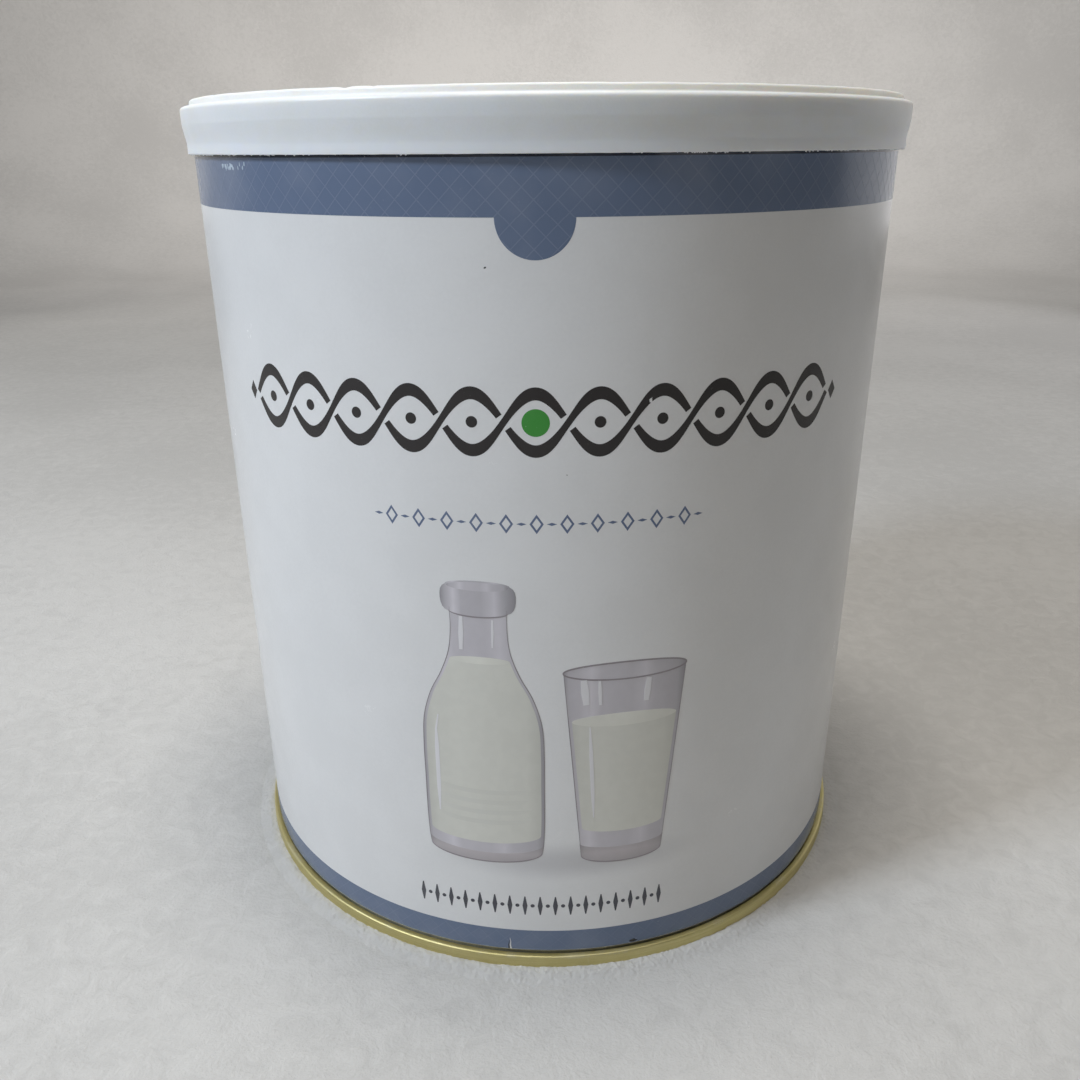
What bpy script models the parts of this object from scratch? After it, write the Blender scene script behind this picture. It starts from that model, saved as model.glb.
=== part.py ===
"""A large round tin of milk powder: a steel can wrapped in a paper label, a
lacquered bottom end held on by a double seam, and a plastic lid pushed over the
top rim.

Metres, +Z up. The tin stands on z = 0 with its axis on Z, and the front of its
label faces -Y. The shut tin is solid inside.
"""

import math

import bpy
from mathutils import Matrix, Vector

# The whole tin
TIN_HEIGHT = 0.1787
GAP = 0.0003
TURN_STEPS = 96
ROUND_STEPS = 2

# Double seams, where the ends are rolled onto the can
SEAM_RADIUS = 0.0786
SEAM_HEIGHT = 0.0034
SEAM_THICKNESS = 0.00155
SEAM_ROUND = 0.0006

# Steel can
BODY_RADIUS = 0.07675
COUNTERSINK = 0.0033
BODY_FOOT = 0.0029
BODY_FOOT_WIDTH = 0.00035
BODY_FLOOR = 0.004

# Bottom end, pressed from lacquered sheet in rings that step down to the middle
SHEET = 0.00035
RING_STEP = 0.0005
RING_SLOPE = 0.0012
RING_RADII = (0.0500, 0.0580, 0.0660)
PANEL_RADIUS = 0.0741
PANEL_DEPTH = 0.0027
COUNTERSINK_WIDTH = 0.0007
CHUCK_TAPER = 0.0013

# Paper label
PAPER = 0.00025
LABEL_FOOT = 0.0046
LABEL_HEIGHT = 0.1676

# Lid
LID_RADIUS = 0.0792
LID_HEIGHT = 0.0103
LID_WALL = 0.00065
LID_SHOULDER = 0.0089
LID_EDGE_ROUND = 0.00045
SKIRT_TAPER = 0.00055
SKIRT_LIP = 0.002
SKIRT_STRAIGHT = 0.0055
STACK_RADIUS = 0.0771
STACK_WIDTH = 0.00135
LID_PANEL = 0.0068
BEAD_RADIUS = 0.0610
BEAD_WIDTH = 0.0046
BEAD_HEIGHT = 0.0006
BEAD_SLOPE = 0.0012

# Finish of each piece: colour, roughness, metallic
FINISHES = {
    "tinplate": ((0.58, 0.57, 0.53), 0.28, 1.0),
    "gold_lacquer": ((0.62, 0.52, 0.24), 0.32, 1.0),
    "label_paper": ((0.80, 0.80, 0.80), 0.35, 0.0),
    "lid_plastic": ((0.80, 0.80, 0.78), 0.45, 0.0),
}


def clear_scene():
    for obj in list(bpy.data.objects):
        bpy.data.objects.remove(obj, do_unlink=True)


def finish(name):
    colour, roughness, metallic = FINISHES[name]
    material = bpy.data.materials.new(name)
    material.use_nodes = True
    shader = material.node_tree.nodes["Principled BSDF"]
    shader.inputs["Base Color"].default_value = (*colour, 1.0)
    shader.inputs["Roughness"].default_value = roughness
    shader.inputs["Metallic"].default_value = metallic
    material.diffuse_color = (*colour, 1.0)
    return material


def rounded(corners):
    """Points of an outline whose corners are (radius from the axis, height, rounding)."""
    points = []
    for index, (across, up, rounding) in enumerate(corners):
        corner = Vector((across, up))
        if rounding == 0:
            points.append(corner)
            continue
        back = (Vector(corners[index - 1][:2]) - corner).normalized()
        ahead = (Vector(corners[index + 1][:2]) - corner).normalized()
        half = back.angle(ahead) / 2
        centre = corner + (back + ahead).normalized() * rounding / math.sin(half)
        start = corner + back * rounding / math.tan(half) - centre
        side = 1 if back.x * ahead.y - back.y * ahead.x < 0 else -1
        for step in range(ROUND_STEPS + 1):
            turn = side * (math.pi - 2 * half) * step / ROUND_STEPS
            points.append(centre + Matrix.Rotation(turn, 2) @ start)
    return points


def turned(name, outline, material, collection, frame, height=0.0, closed=False):
    """A solid turned about Z from an outline that runs down its outer side."""
    points = rounded(outline)
    count = len(points)
    edges = [(i, i + 1) for i in range(count - 1)]
    if closed:
        edges.append((count - 1, 0))
    mesh = bpy.data.meshes.new(name)
    mesh.from_pydata([(p.x, 0.0, p.y) for p in points], edges, [])
    mesh.materials.append(material)
    obj = bpy.data.objects.new(name, mesh)
    obj.location.z = height
    obj.parent = frame
    collection.objects.link(obj)
    screw = obj.modifiers.new("turn", "SCREW")
    screw.axis = "Z"
    screw.angle = math.tau
    screw.steps = TURN_STEPS
    screw.render_steps = TURN_STEPS
    screw.use_merge_vertices = True
    screw.merge_threshold = 0.00001
    screw.use_smooth_shade = True
    return obj


def lid_outline():
    """The lid from its middle over the stacking ring and down the skirt, then back inside."""
    bead_in = BEAD_RADIUS - BEAD_WIDTH / 2
    bead_out = BEAD_RADIUS + BEAD_WIDTH / 2
    bead_top = LID_PANEL + BEAD_HEIGHT
    ring_in = STACK_RADIUS - STACK_WIDTH
    lip = LID_RADIUS - SKIRT_TAPER
    shoulder_under = LID_SHOULDER - LID_WALL
    plug = ring_in + LID_WALL
    panel_under = LID_PANEL - LID_WALL
    return [
        (0, LID_PANEL, 0),
        (bead_in - BEAD_SLOPE, LID_PANEL, 0),
        (bead_in, bead_top, 0),
        (bead_out, bead_top, 0),
        (bead_out + BEAD_SLOPE, LID_PANEL, 0),
        (ring_in, LID_PANEL, 0.0008),
        (ring_in, LID_HEIGHT, 0.0004),
        (STACK_RADIUS, LID_HEIGHT, 0.0004),
        (STACK_RADIUS, LID_SHOULDER, 0),
        (LID_RADIUS, LID_SHOULDER, LID_EDGE_ROUND),
        (LID_RADIUS, SKIRT_STRAIGHT, 0),
        (lip, SKIRT_LIP, 0),
        (lip, 0, 0),
        (lip - LID_WALL, 0, 0),
        (lip - LID_WALL, SKIRT_LIP, 0),
        (LID_RADIUS - LID_WALL, SKIRT_STRAIGHT, 0),
        (LID_RADIUS - LID_WALL, shoulder_under, 0),
        (plug, shoulder_under, 0),
        (plug, panel_under, 0),
        (0, panel_under, 0),
    ]


def body_outline():
    """The can from the middle of its sunk top, over the rim and down the wall to its foot."""
    rim_top = TIN_HEIGHT - LID_HEIGHT + LID_SHOULDER - LID_WALL - GAP
    rim_radius = LID_RADIUS - LID_WALL - GAP
    rim_in = rim_radius - SEAM_THICKNESS
    sunk_top = rim_top - COUNTERSINK
    return [
        (0, sunk_top, 0),
        (rim_in, sunk_top, 0),
        (rim_in, rim_top, SEAM_ROUND),
        (rim_radius, rim_top, SEAM_ROUND),
        (rim_radius, rim_top - SEAM_HEIGHT, 0),
        (BODY_RADIUS, rim_top - SEAM_HEIGHT, 0),
        (BODY_RADIUS, BODY_FOOT, 0),
        (BODY_RADIUS - BODY_FOOT_WIDTH, BODY_FOOT, 0),
        (BODY_RADIUS - BODY_FOOT_WIDTH - SEAM_ROUND, BODY_FLOOR, 0),
        (0, BODY_FLOOR, 0),
    ]


def end_panel():
    """The underside of the bottom end, from its middle to the countersink, as (radius, height)."""
    depth = PANEL_DEPTH - RING_STEP * len(RING_RADII)
    panel = [(0, depth)]
    for radius in RING_RADII:
        panel.append((radius - RING_SLOPE / 2, depth))
        depth += RING_STEP
        panel.append((radius + RING_SLOPE / 2, depth))
    panel.append((PANEL_RADIUS, PANEL_DEPTH))
    panel.append((PANEL_RADIUS + SEAM_ROUND, COUNTERSINK))
    panel.append((PANEL_RADIUS + SEAM_ROUND + COUNTERSINK_WIDTH, COUNTERSINK))
    return panel


def bottom_end_outline():
    """The bottom end from the middle of its plain upper side, round its seam and back underneath."""
    seam_in = SEAM_RADIUS - SEAM_THICKNESS
    under = end_panel()
    countersink_out = under[-1][0]
    chuck_foot = countersink_out + CHUCK_TAPER
    upper = [
        (0, PANEL_DEPTH + SHEET, 0),
        (PANEL_RADIUS, PANEL_DEPTH + SHEET, 0),
        (PANEL_RADIUS + SEAM_ROUND, COUNTERSINK + SHEET, 0),
        (countersink_out, COUNTERSINK + SHEET, 0),
    ]
    seam = [
        (seam_in, SEAM_ROUND * 2, 0),
        (seam_in, SEAM_HEIGHT, 0.0003),
        (SEAM_RADIUS, SEAM_HEIGHT, SEAM_ROUND),
        (SEAM_RADIUS, 0, SEAM_ROUND),
        (chuck_foot, 0, SEAM_ROUND),
    ]
    lower = [(across, up, 0) for across, up in reversed(under)]
    return upper + seam + lower


def label_outline():
    """The wall of the paper label, which clears the can by the gap."""
    inner = BODY_RADIUS + GAP
    outer = inner + PAPER
    return [
        (inner, LABEL_HEIGHT, 0),
        (outer, LABEL_HEIGHT, 0),
        (outer, 0, 0),
        (inner, 0, 0),
    ]


def main():
    clear_scene()
    tin = bpy.data.collections.new("milk_powder_tin")
    bpy.context.scene.collection.children.link(tin)
    frame = bpy.data.objects.new("tin_frame", None)
    tin.objects.link(frame)

    turned("body", body_outline(), finish("tinplate"), tin, frame)
    turned("bottom_end", bottom_end_outline(), finish("gold_lacquer"), tin, frame)
    turned("label", label_outline(), finish("label_paper"), tin, frame, height=LABEL_FOOT, closed=True)
    turned("lid", lid_outline(), finish("lid_plastic"), tin, frame, height=TIN_HEIGHT - LID_HEIGHT)


main()
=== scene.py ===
import math
import random

import bmesh
import bpy
from bpy.props import FloatProperty, FloatVectorProperty, IntProperty, PointerProperty
from bpy.types import Operator, Panel, PropertyGroup
from mathutils import Matrix, Vector, noise


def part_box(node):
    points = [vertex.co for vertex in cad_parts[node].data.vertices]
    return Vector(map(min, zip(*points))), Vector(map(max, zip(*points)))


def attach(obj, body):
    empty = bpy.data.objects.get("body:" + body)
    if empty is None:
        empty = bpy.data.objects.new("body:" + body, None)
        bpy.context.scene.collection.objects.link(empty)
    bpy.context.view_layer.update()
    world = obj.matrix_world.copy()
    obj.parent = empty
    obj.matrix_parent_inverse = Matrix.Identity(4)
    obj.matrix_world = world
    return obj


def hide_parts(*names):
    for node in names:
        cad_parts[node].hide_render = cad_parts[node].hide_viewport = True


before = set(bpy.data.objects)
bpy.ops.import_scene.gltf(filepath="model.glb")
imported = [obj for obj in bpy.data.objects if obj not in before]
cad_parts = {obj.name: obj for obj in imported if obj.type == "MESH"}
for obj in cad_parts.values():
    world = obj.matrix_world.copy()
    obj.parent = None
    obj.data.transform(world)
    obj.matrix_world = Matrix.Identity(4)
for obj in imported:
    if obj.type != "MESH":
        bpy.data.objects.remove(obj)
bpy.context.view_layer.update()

bl_info = {
    "name": "Milk powder tin",
    "version": (1, 0, 0),
    "blender": (4, 5, 0),
    "location": "3D View > Sidebar > Tin",
    "description": "Makes the label, its print, the lid and the seamed ends of a large milk powder tin",
    "category": "Add Mesh",
}

LABEL_LOW, LABEL_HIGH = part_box("label")
LID_LOW, LID_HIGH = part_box("lid")
CAN_LOW, CAN_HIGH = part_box("body")
END_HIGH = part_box("bottom_end")[1]

MM = 0.001
TURN_STEPS = 720
ROUND_STEPS = 6
SHARP = math.radians(35)

# How near two points are one, and how near a cut passes through a point
WELD = 0.000001
CUT_REACH = 0.0000001

# How far the back of an ink film is sunk in the paper, and how finely films are cut to bend
FILM_SINK = 0.00004
FILM_STEP = 0.0014
FILM_RISE = 0.004

# How wide the slope up to the label's lap is, and the air under the lap
LAP_SLOPE = 0.0035
LAP_AIR = 0.00007

# Roughness of the coated paper and of the ink on it, its refraction, and how dim its clouds are
PAPER_GLOSS = 0.24
COAT_IOR = 1.5
PAPER_CLOUD = 0.965

# How far each layer of ink stands out of the paper
INK_LIFT = 0.000016
LATTICE_LIFT = 0.00003
LAYER = 0.000012


def colour_prop(name, description, default):
    return FloatVectorProperty(
        name=name, description=description, default=default, size=3, min=0, max=1, subtype="COLOR"
    )


def length_prop(name, description, default):
    return FloatProperty(name=name, description=description, default=default, unit="LENGTH", precision=5)


def angle_prop(name, description, degrees):
    default = math.radians(degrees)
    return FloatProperty(name=name, description=description, default=default, subtype="ANGLE")


class TinLabelSizes(PropertyGroup):
    """Sizes and colours of the paper label and its two bands."""

    radius: length_prop("Radius", "Outside of the paper, measured from the tin's axis", LABEL_HIGH.x)
    foot: length_prop("Foot", "Height of the label's lower edge", LABEL_LOW.z)
    top: length_prop("Top", "Height of the label's upper edge, under the lid", LABEL_HIGH.z)
    paper: length_prop("Paper", "Thickness of the paper", 0.00024)
    lap: length_prop("Lap", "Width of the glued lap at the back", 0.0105)
    ripple: length_prop("Ripple", "How far the paper stands off the can here and there", 0.00007)
    foot_wave: length_prop("Foot wave", "How far the cut of the lower edge wanders", 0.00012)
    band_low: length_prop("Band edge", "Height of the upper band's lower edge", 0.1588)
    tab_radius: length_prop("Tab radius", "Radius of the half disc under the upper band", 0.0067)
    tab_place: length_prop("Tab place", "Arc from the middle of the front to the middle of the tab", 0.0002)
    foot_band: length_prop("Foot band", "Height of the lower band's upper edge", 0.0101)
    lattice_pitch: length_prop("Lattice pitch", "Width of one diamond of the lattice", 0.0039)
    lattice_line: length_prop("Lattice line", "Width of the lattice's lines", 0.00019)
    paper_colour: colour_prop("Paper colour", "Colour of the coated paper", (0.80, 0.80, 0.80))
    band_colour: colour_prop("Band colour", "Slate ink of the two bands", (0.140, 0.184, 0.280))
    line_colour: colour_prop("Lattice colour", "Paler slate ink of the lattice", (0.178, 0.222, 0.320))


class TinPrintSizes(PropertyGroup):
    """Sizes and colours of the ornament, the rule, the picture and the footer row."""

    ornament_height: length_prop("Ornament height", "Height of the plait's middle line", 0.1246)
    eye_width: length_prop("Eye width", "Length of one eye of the plait", 0.0114)
    eye_rise: length_prop("Eye rise", "How far a strand swings from the middle line", 0.0052)
    eyes: IntProperty(name="Eyes", description="Number of eyes in the plait", default=11, min=3, max=21)
    strand_thick: length_prop("Strand at crest", "Width of a strand at its crest", 0.0023)
    strand_thin: length_prop("Strand at crossing", "Width of a strand where two cross", 0.0012)
    rule_height: length_prop("Rule height", "Height of the row of lozenges", 0.1056)
    footer_height: length_prop("Footer height", "Height of the row of bars and dots", 0.0170)
    ornament_colour: colour_prop("Ornament colour", "Near-black ink of the plait", (0.022, 0.018, 0.018))
    accent_colour: colour_prop("Accent colour", "Green ink of the middle disc", (0.045, 0.290, 0.040))
    rule_colour: colour_prop("Rule colour", "Grey-blue ink of the lozenges", (0.125, 0.165, 0.270))
    footer_colour: colour_prop("Footer colour", "Dark grey ink of the footer row", (0.070, 0.070, 0.085))
    glass_colour: colour_prop("Glass colour", "Lilac grey of the printed glass", (0.585, 0.560, 0.595))
    milk_colour: colour_prop("Milk colour", "Cream of the printed milk", (0.700, 0.695, 0.635))
    base_colour: colour_prop("Base colour", "Brown lilac of the printed glass bases", (0.455, 0.420, 0.432))


class TinLidSizes(PropertyGroup):
    """Sizes and colour of the plastic lid."""

    height: length_prop("Height", "Height of the lid over its lip", LID_HIGH.z - LID_LOW.z)
    radius: length_prop("Radius", "Outside of the skirt, measured from the tin's axis", LID_HIGH.x)
    wall: length_prop("Wall", "Thickness of the plastic", 0.00065)
    wave: length_prop("Wave", "How far the skirt swells and sinks round the tin", 0.00008)
    flash: length_prop("Flash", "Longest burr on the lip", 0.0005)
    nick: length_prop("Nick", "Depth of the nicks in the stacking ring", 0.0005)
    colour: colour_prop("Colour", "Colour of the plastic", (0.870, 0.868, 0.855))
    seed: IntProperty(name="Seed", description="Which scatter of burrs the lip gets", default=7, min=0)


class TinCanSizes(PropertyGroup):
    """Colours of the metal."""

    lacquer: colour_prop("Lacquer", "Gold lacquer of the bottom end", (0.715, 0.638, 0.335))
    tinplate: colour_prop("Tinplate", "Bare sheet of the can", (0.600, 0.590, 0.500))


class TinStageSizes(PropertyGroup):
    """Where the camera stands, and the studio round the tin."""

    distance: length_prop("Camera distance", "From the tin's axis, along the floor", 0.2424)
    height: length_prop("Camera height", "Height of the lens over the floor", 0.1695)
    turn: angle_prop("Camera turn", "How far round the tin the camera stands", 1.45)
    pitch: angle_prop("Camera pitch", "How far the lens looks down", 22.075)
    yaw: angle_prop("Camera yaw", "How far the lens looks aside", 0.473)
    roll: angle_prop("Camera roll", "How far the camera leans", -0.461)
    lens: FloatProperty(name="Lens", description="Focal length in mm on a 36 mm frame", default=32.38)
    dish: length_prop("Dish radius", "Radius of the flat floor before it sweeps up", 1.3)
    floor_colour: colour_prop("Floor colour", "Pale cloth of the floor and its sweep", (0.525, 0.515, 0.500))


class Tree:
    """Grows a node tree node by node."""

    def __init__(self, tree):
        self.tree = tree
        self.nodes = tree.nodes

    def feed(self, socket, value):
        if isinstance(value, bpy.types.NodeSocket):
            self.tree.links.new(value, socket)
        else:
            socket.default_value = value

    def add(self, kind, inputs=None, **settings):
        node = self.nodes.new(kind)
        for key, value in settings.items():
            setattr(node, key, value)
        for key, value in (inputs or {}).items():
            self.feed(node.inputs[key], value)
        return node

    def math(self, operation, *values, clamp=False):
        inputs = dict(enumerate(values))
        return self.add("ShaderNodeMath", inputs, operation=operation, use_clamp=clamp).outputs[0]

    def plus(self, first, second, clamp=False):
        return self.math("ADD", first, second, clamp=clamp)

    def minus(self, first, second):
        return self.math("SUBTRACT", first, second)

    def times(self, first, second, clamp=False):
        return self.math("MULTIPLY", first, second, clamp=clamp)

    def squares(self, first, second):
        """The sum of two squares."""
        return self.plus(self.times(first, first), self.times(second, second))

    def split(self, vector):
        return self.add("ShaderNodeSeparateXYZ", {0: vector}).outputs

    def join(self, x=0.0, y=0.0, z=0.0):
        return self.add("ShaderNodeCombineXYZ", {0: x, 1: y, 2: z}).outputs[0]

    def span(self, value, low, high, to_low=0.0, to_high=1.0, kind="SMOOTHSTEP"):
        """A value brought from one range to another, with both ends held."""
        inputs = {0: value, 1: low, 2: high, 3: to_low, 4: to_high}
        return self.add("ShaderNodeMapRange", inputs, interpolation_type=kind).outputs[0]

    def noise(self, vector, scale, detail=2.0, roughness=0.5, distortion=0.0):
        inputs = {
            "Vector": vector, "Scale": scale, "Detail": detail, "Roughness": roughness,
            "Distortion": distortion,
        }
        return self.add("ShaderNodeTexNoise", inputs).outputs[0]

    def stretch(self, vector, scale):
        inputs = {0: vector, 1: scale}
        return self.add("ShaderNodeVectorMath", inputs, operation="MULTIPLY").outputs[0]

    def mix(self, share, first, second):
        node = self.add("ShaderNodeMix", data_type="RGBA")
        self.feed(node.inputs[0], share)
        self.feed(node.inputs[6], first)
        self.feed(node.inputs[7], second)
        return node.outputs[2]

    def ramp(self, share, stops):
        node = self.add("ShaderNodeValToRGB", {0: share})
        elements = node.color_ramp.elements
        while len(elements) < len(stops):
            elements.new(0.5)
        for element, (place, colour) in zip(elements, stops):
            element.position = place
            element.color = colour
        return node.outputs[0]

    def bump(self, height, distance, strength=1.0, under=None):
        inputs = {"Strength": strength, "Distance": distance, "Height": height}
        if under is not None:
            inputs["Normal"] = under
        return self.add("ShaderNodeBump", inputs).outputs[0]


# The kind of socket that a default value asks for
SOCKET_KINDS = {float: "Float", int: "Int", tuple: "Color"}


def group(name, kind, inputs, outputs):
    """A new node group, its tree and its two ends. An input with no default is named for its kind."""
    tree = bpy.data.node_groups.new(name, kind)
    for label, default in inputs.items():
        socket = SOCKET_KINDS.get(type(default), label)
        made = tree.interface.new_socket(name=label, in_out="INPUT", socket_type="NodeSocket" + socket)
        if default is not None:
            made.default_value = default
    for label, socket in outputs.items():
        tree.interface.new_socket(name=label, in_out="OUTPUT", socket_type="NodeSocket" + socket)
    grown = Tree(tree)
    entry = grown.add("NodeGroupInput").outputs
    end = grown.add("NodeGroupOutput").inputs
    return grown, entry, end


def shape_group(name, inputs):
    """A tree that takes a shape in, works on it by named inputs and gives it a material."""
    inputs = {"Geometry": None, **inputs, "Material": None}
    return group(name, "GeometryNodeTree", inputs, {"Geometry": "Geometry"})


def close_geometry(grown, end, geometry, material):
    """The two nodes that every shape tree ends in."""
    real = grown.add("GeometryNodeRealizeInstances", {"Geometry": geometry}).outputs[0]
    painted = grown.add("GeometryNodeSetMaterial", {"Geometry": real, "Material": material}).outputs[0]
    grown.feed(end[0], painted)


# Across, up, half width, half height and depth of the paper's soft dents
DENTS = (
    (0.0210, 0.1375, 0.0011, 0.0022, 0.00012),
    (0.0209, 0.1262, 0.0011, 0.0030, 0.00009),
    (-0.1420, 0.0800, 0.0060, 0.0040, 0.00025),
)


def dent_group():
    """How deep a soft dent in the paper is at a place on the label."""
    inputs = {
        "Across": 0.0, "Up": 0.0, "Dent Across": 0.0, "Dent Up": 0.0, "Half Width": 0.002,
        "Half Height": 0.005, "Depth": 0.0001,
    }
    grown, entry, end = group("Paper Dent", "GeometryNodeTree", inputs, {"Depth": "Float"})
    aside = grown.math("DIVIDE", grown.minus(entry["Across"], entry["Dent Across"]), entry["Half Width"])
    above = grown.math("DIVIDE", grown.minus(entry["Up"], entry["Dent Up"]), entry["Half Height"])
    fall = grown.math("EXPONENT", grown.times(grown.squares(aside, above), -1.0))
    grown.feed(end[0], grown.times(fall, entry["Depth"]))
    return grown.tree


# What "Wrap Round Tin" is told, and what "Label Sheet" hands on to it
WRAP_INPUTS = {"Radius": 0.0773, "Ripple": 0.00006, "Lap Start": 0.24, "Lap Rise": 0.0003}

# How the ripples stretch along the tin's height, and how many of them go round
RIPPLE_STRETCH = 3.4
RIPPLE_SCALE = 3.2


def wrap_group():
    """Bends flat work round the tin: across becomes arc, up stays up, and -Y faces out."""
    grown, entry, end = shape_group("Wrap Round Tin", WRAP_INPUTS)
    place = grown.split(grown.add("GeometryNodeInputPosition").outputs[0])
    angle = grown.math("DIVIDE", place[0], entry["Radius"])
    sine = grown.math("SINE", angle)
    cosine = grown.math("COSINE", angle)
    on_tin = grown.join(sine, cosine, grown.times(place[2], RIPPLE_STRETCH))
    slow = grown.noise(on_tin, RIPPLE_SCALE, detail=3.0, roughness=0.42)
    wave = grown.times(grown.minus(slow, 0.5), entry["Ripple"])
    depth = 0.0
    dent = dent_group()
    for measures in DENTS:
        node = grown.add("GeometryNodeGroup", node_tree=dent)
        for socket, value in zip(node.inputs, (place[0], place[2], *measures)):
            grown.feed(socket, value)
        depth = grown.plus(depth, node.outputs[0])
    rise_end = grown.plus(entry["Lap Start"], LAP_SLOPE)
    rise = grown.span(place[0], entry["Lap Start"], rise_end, 0.0, entry["Lap Rise"])
    outward = grown.minus(grown.plus(grown.plus(entry["Radius"], rise), wave), place[1])
    outward = grown.minus(outward, depth)
    back = grown.times(grown.times(outward, cosine), -1.0)
    bent = grown.join(grown.times(outward, sine), back, place[2])
    moved = grown.add("GeometryNodeSetPosition", {"Geometry": entry["Geometry"], "Position": bent}).outputs[0]
    close_geometry(grown, end, moved, entry["Material"])


def row_group():
    """Repeats a motif in a flat row, centred, with one place left out if asked."""
    grown, entry, end = shape_group("Repeat In A Row", {"Count": 11, "Pitch": 0.01, "Left Out": -1})
    start = grown.times(grown.times(grown.minus(entry["Count"], 1.0), entry["Pitch"]), -0.5)
    line = grown.add(
        "GeometryNodeMeshLine",
        {"Count": entry["Count"], "Start Location": grown.join(start), "Offset": grown.join(entry["Pitch"])},
        mode="OFFSET",
    ).outputs[0]
    index = grown.add("GeometryNodeInputIndex").outputs[0]
    skip = grown.add("FunctionNodeCompare", data_type="INT", operation="EQUAL")
    grown.feed(skip.inputs[2], index)
    grown.feed(skip.inputs[3], entry["Left Out"])
    kept = grown.add(
        "GeometryNodeDeleteGeometry", {"Geometry": line, "Selection": skip.outputs[0]}, domain="POINT"
    ).outputs[0]
    row = grown.add(
        "GeometryNodeInstanceOnPoints", {"Points": kept, "Instance": entry["Geometry"]}
    ).outputs[0]
    close_geometry(grown, end, row, entry["Material"])


# How finely the label's sheet is cut, and how far up the wander of its lower edge reaches
SHEET_COLUMNS = 390
SHEET_ROWS = 64
FOOT_REACH = 0.004


def sheet_group():
    """The paper label as one long sheet, wrapped and lapped at the back."""
    inputs = {
        "Length": 0.49, "Foot": 0.0046, "Top": 0.1722, "Paper": 0.00025, "Start": -0.2428,
        "Foot Wave": 0.00012, **WRAP_INPUTS,
    }
    grown, entry, end = shape_group("Label Sheet", inputs)
    height = grown.minus(entry["Top"], entry["Foot"])
    sheet = grown.add(
        "GeometryNodeMeshCube",
        {
            "Size": grown.join(entry["Length"], entry["Paper"], height),
            "Vertices X": SHEET_COLUMNS, "Vertices Y": 2, "Vertices Z": SHEET_ROWS,
        },
    ).outputs[0]
    middle = grown.plus(entry["Start"], grown.times(entry["Length"], 0.5))
    lift = grown.times(grown.plus(entry["Top"], entry["Foot"]), 0.5)
    inward = grown.times(entry["Paper"], 0.5)
    placed = grown.add(
        "GeometryNodeTransform", {"Geometry": sheet, "Translation": grown.join(middle, inward, lift)}
    ).outputs[0]
    place = grown.split(grown.add("GeometryNodeInputPosition").outputs[0])
    ragged = grown.noise(grown.join(place[0], 0.0, 0.0), 260.0, detail=3.0, roughness=0.7)
    over_foot = grown.minus(place[2], entry["Foot"])
    near_foot = grown.span(over_foot, 0.0, FOOT_REACH, 1.0, 0.0)
    shift = grown.times(grown.times(grown.minus(ragged, 0.5), entry["Foot Wave"]), near_foot)
    cut = grown.add(
        "GeometryNodeSetPosition", {"Geometry": placed, "Offset": grown.join(0.0, 0.0, shift)}
    ).outputs[0]
    bend = grown.add("GeometryNodeGroup", node_tree=bpy.data.node_groups["Wrap Round Tin"])
    for key in (*WRAP_INPUTS, "Material"):
        grown.feed(bend.inputs[key], entry[key])
    grown.feed(bend.inputs["Geometry"], cut)
    close_geometry(grown, end, bend.outputs[0], entry["Material"])


def burr_group():
    """Scatters burrs along the lid's lip, in clusters, from a fixed seed."""
    inputs = {"Lip Radius": 0.0785, "Lip Height": 0.1684, "Places": 900, "Longest": 0.0004, "Seed": 0}
    grown, entry, end = shape_group("Lip Burrs", inputs)

    def draw(low, high, further):
        """A random number for each place, from its own seed."""
        node = grown.add("FunctionNodeRandomValue", data_type="FLOAT")
        for key, value in ((2, low), (3, high), ("Seed", grown.plus(entry["Seed"], further))):
            grown.feed(node.inputs[key], value)
        return node.outputs[1]

    ring = grown.add(
        "GeometryNodeMeshCircle", {"Vertices": entry["Places"], "Radius": entry["Lip Radius"]}
    ).outputs[0]
    lifted = grown.add(
        "GeometryNodeTransform", {"Geometry": ring, "Translation": grown.join(0.0, 0.0, entry["Lip Height"])}
    ).outputs[0]
    where = grown.add("GeometryNodeInputPosition").outputs[0]
    spot = grown.split(where)
    clusters = grown.noise(where, 55.0, detail=2.0)
    front = grown.span(grown.math("DIVIDE", spot[1], entry["Lip Radius"]), -0.9, -0.6, 0.12, 0.0)
    chance = grown.plus(clusters, grown.times(draw(0.0, 1.0, 0.0), 0.35))
    kept = grown.math("GREATER_THAN", grown.minus(chance, front), 0.70)
    length = grown.times(draw(0.25, 1.0, 1.0), entry["Longest"])
    facing = grown.math("ARCTAN2", spot[1], spot[0])
    turned_to = grown.join(draw(-0.5, 0.5, 2.0), 0.0, grown.minus(facing, math.pi / 2))
    wide = grown.plus(grown.times(length, 0.9), 0.00012)
    burrs = grown.add(
        "GeometryNodeInstanceOnPoints",
        {
            "Points": lifted, "Selection": kept, "Instance": entry["Geometry"],
            "Rotation": turned_to, "Scale": grown.join(wide, 0.00022, length),
        },
    ).outputs[0]
    close_geometry(grown, end, burrs, entry["Material"])


def build_shape_trees():
    for make in (wrap_group, row_group, sheet_group, burr_group):
        make()


def add_tree(obj, name, values):
    """Gives an object a shape tree, with its inputs set by the sockets' identifiers."""
    modifier = obj.modifiers.new(name, "NODES")
    modifier.node_group = bpy.data.node_groups[name]
    for item in modifier.node_group.interface.items_tree:
        if item.item_type == "SOCKET" and item.in_out == "INPUT" and item.name in values:
            modifier[item.identifier] = values[item.name]


def settle(obj):
    """Turns what an object's modifiers make into its own plain mesh."""
    depsgraph = bpy.context.evaluated_depsgraph_get()
    made = bpy.data.meshes.new_from_object(
        obj.evaluated_get(depsgraph), preserve_all_data_layers=True, depsgraph=depsgraph
    )
    plain = obj.data
    obj.modifiers.clear()
    obj.data = made
    bpy.data.meshes.remove(plain)
    made.name = obj.name


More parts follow.
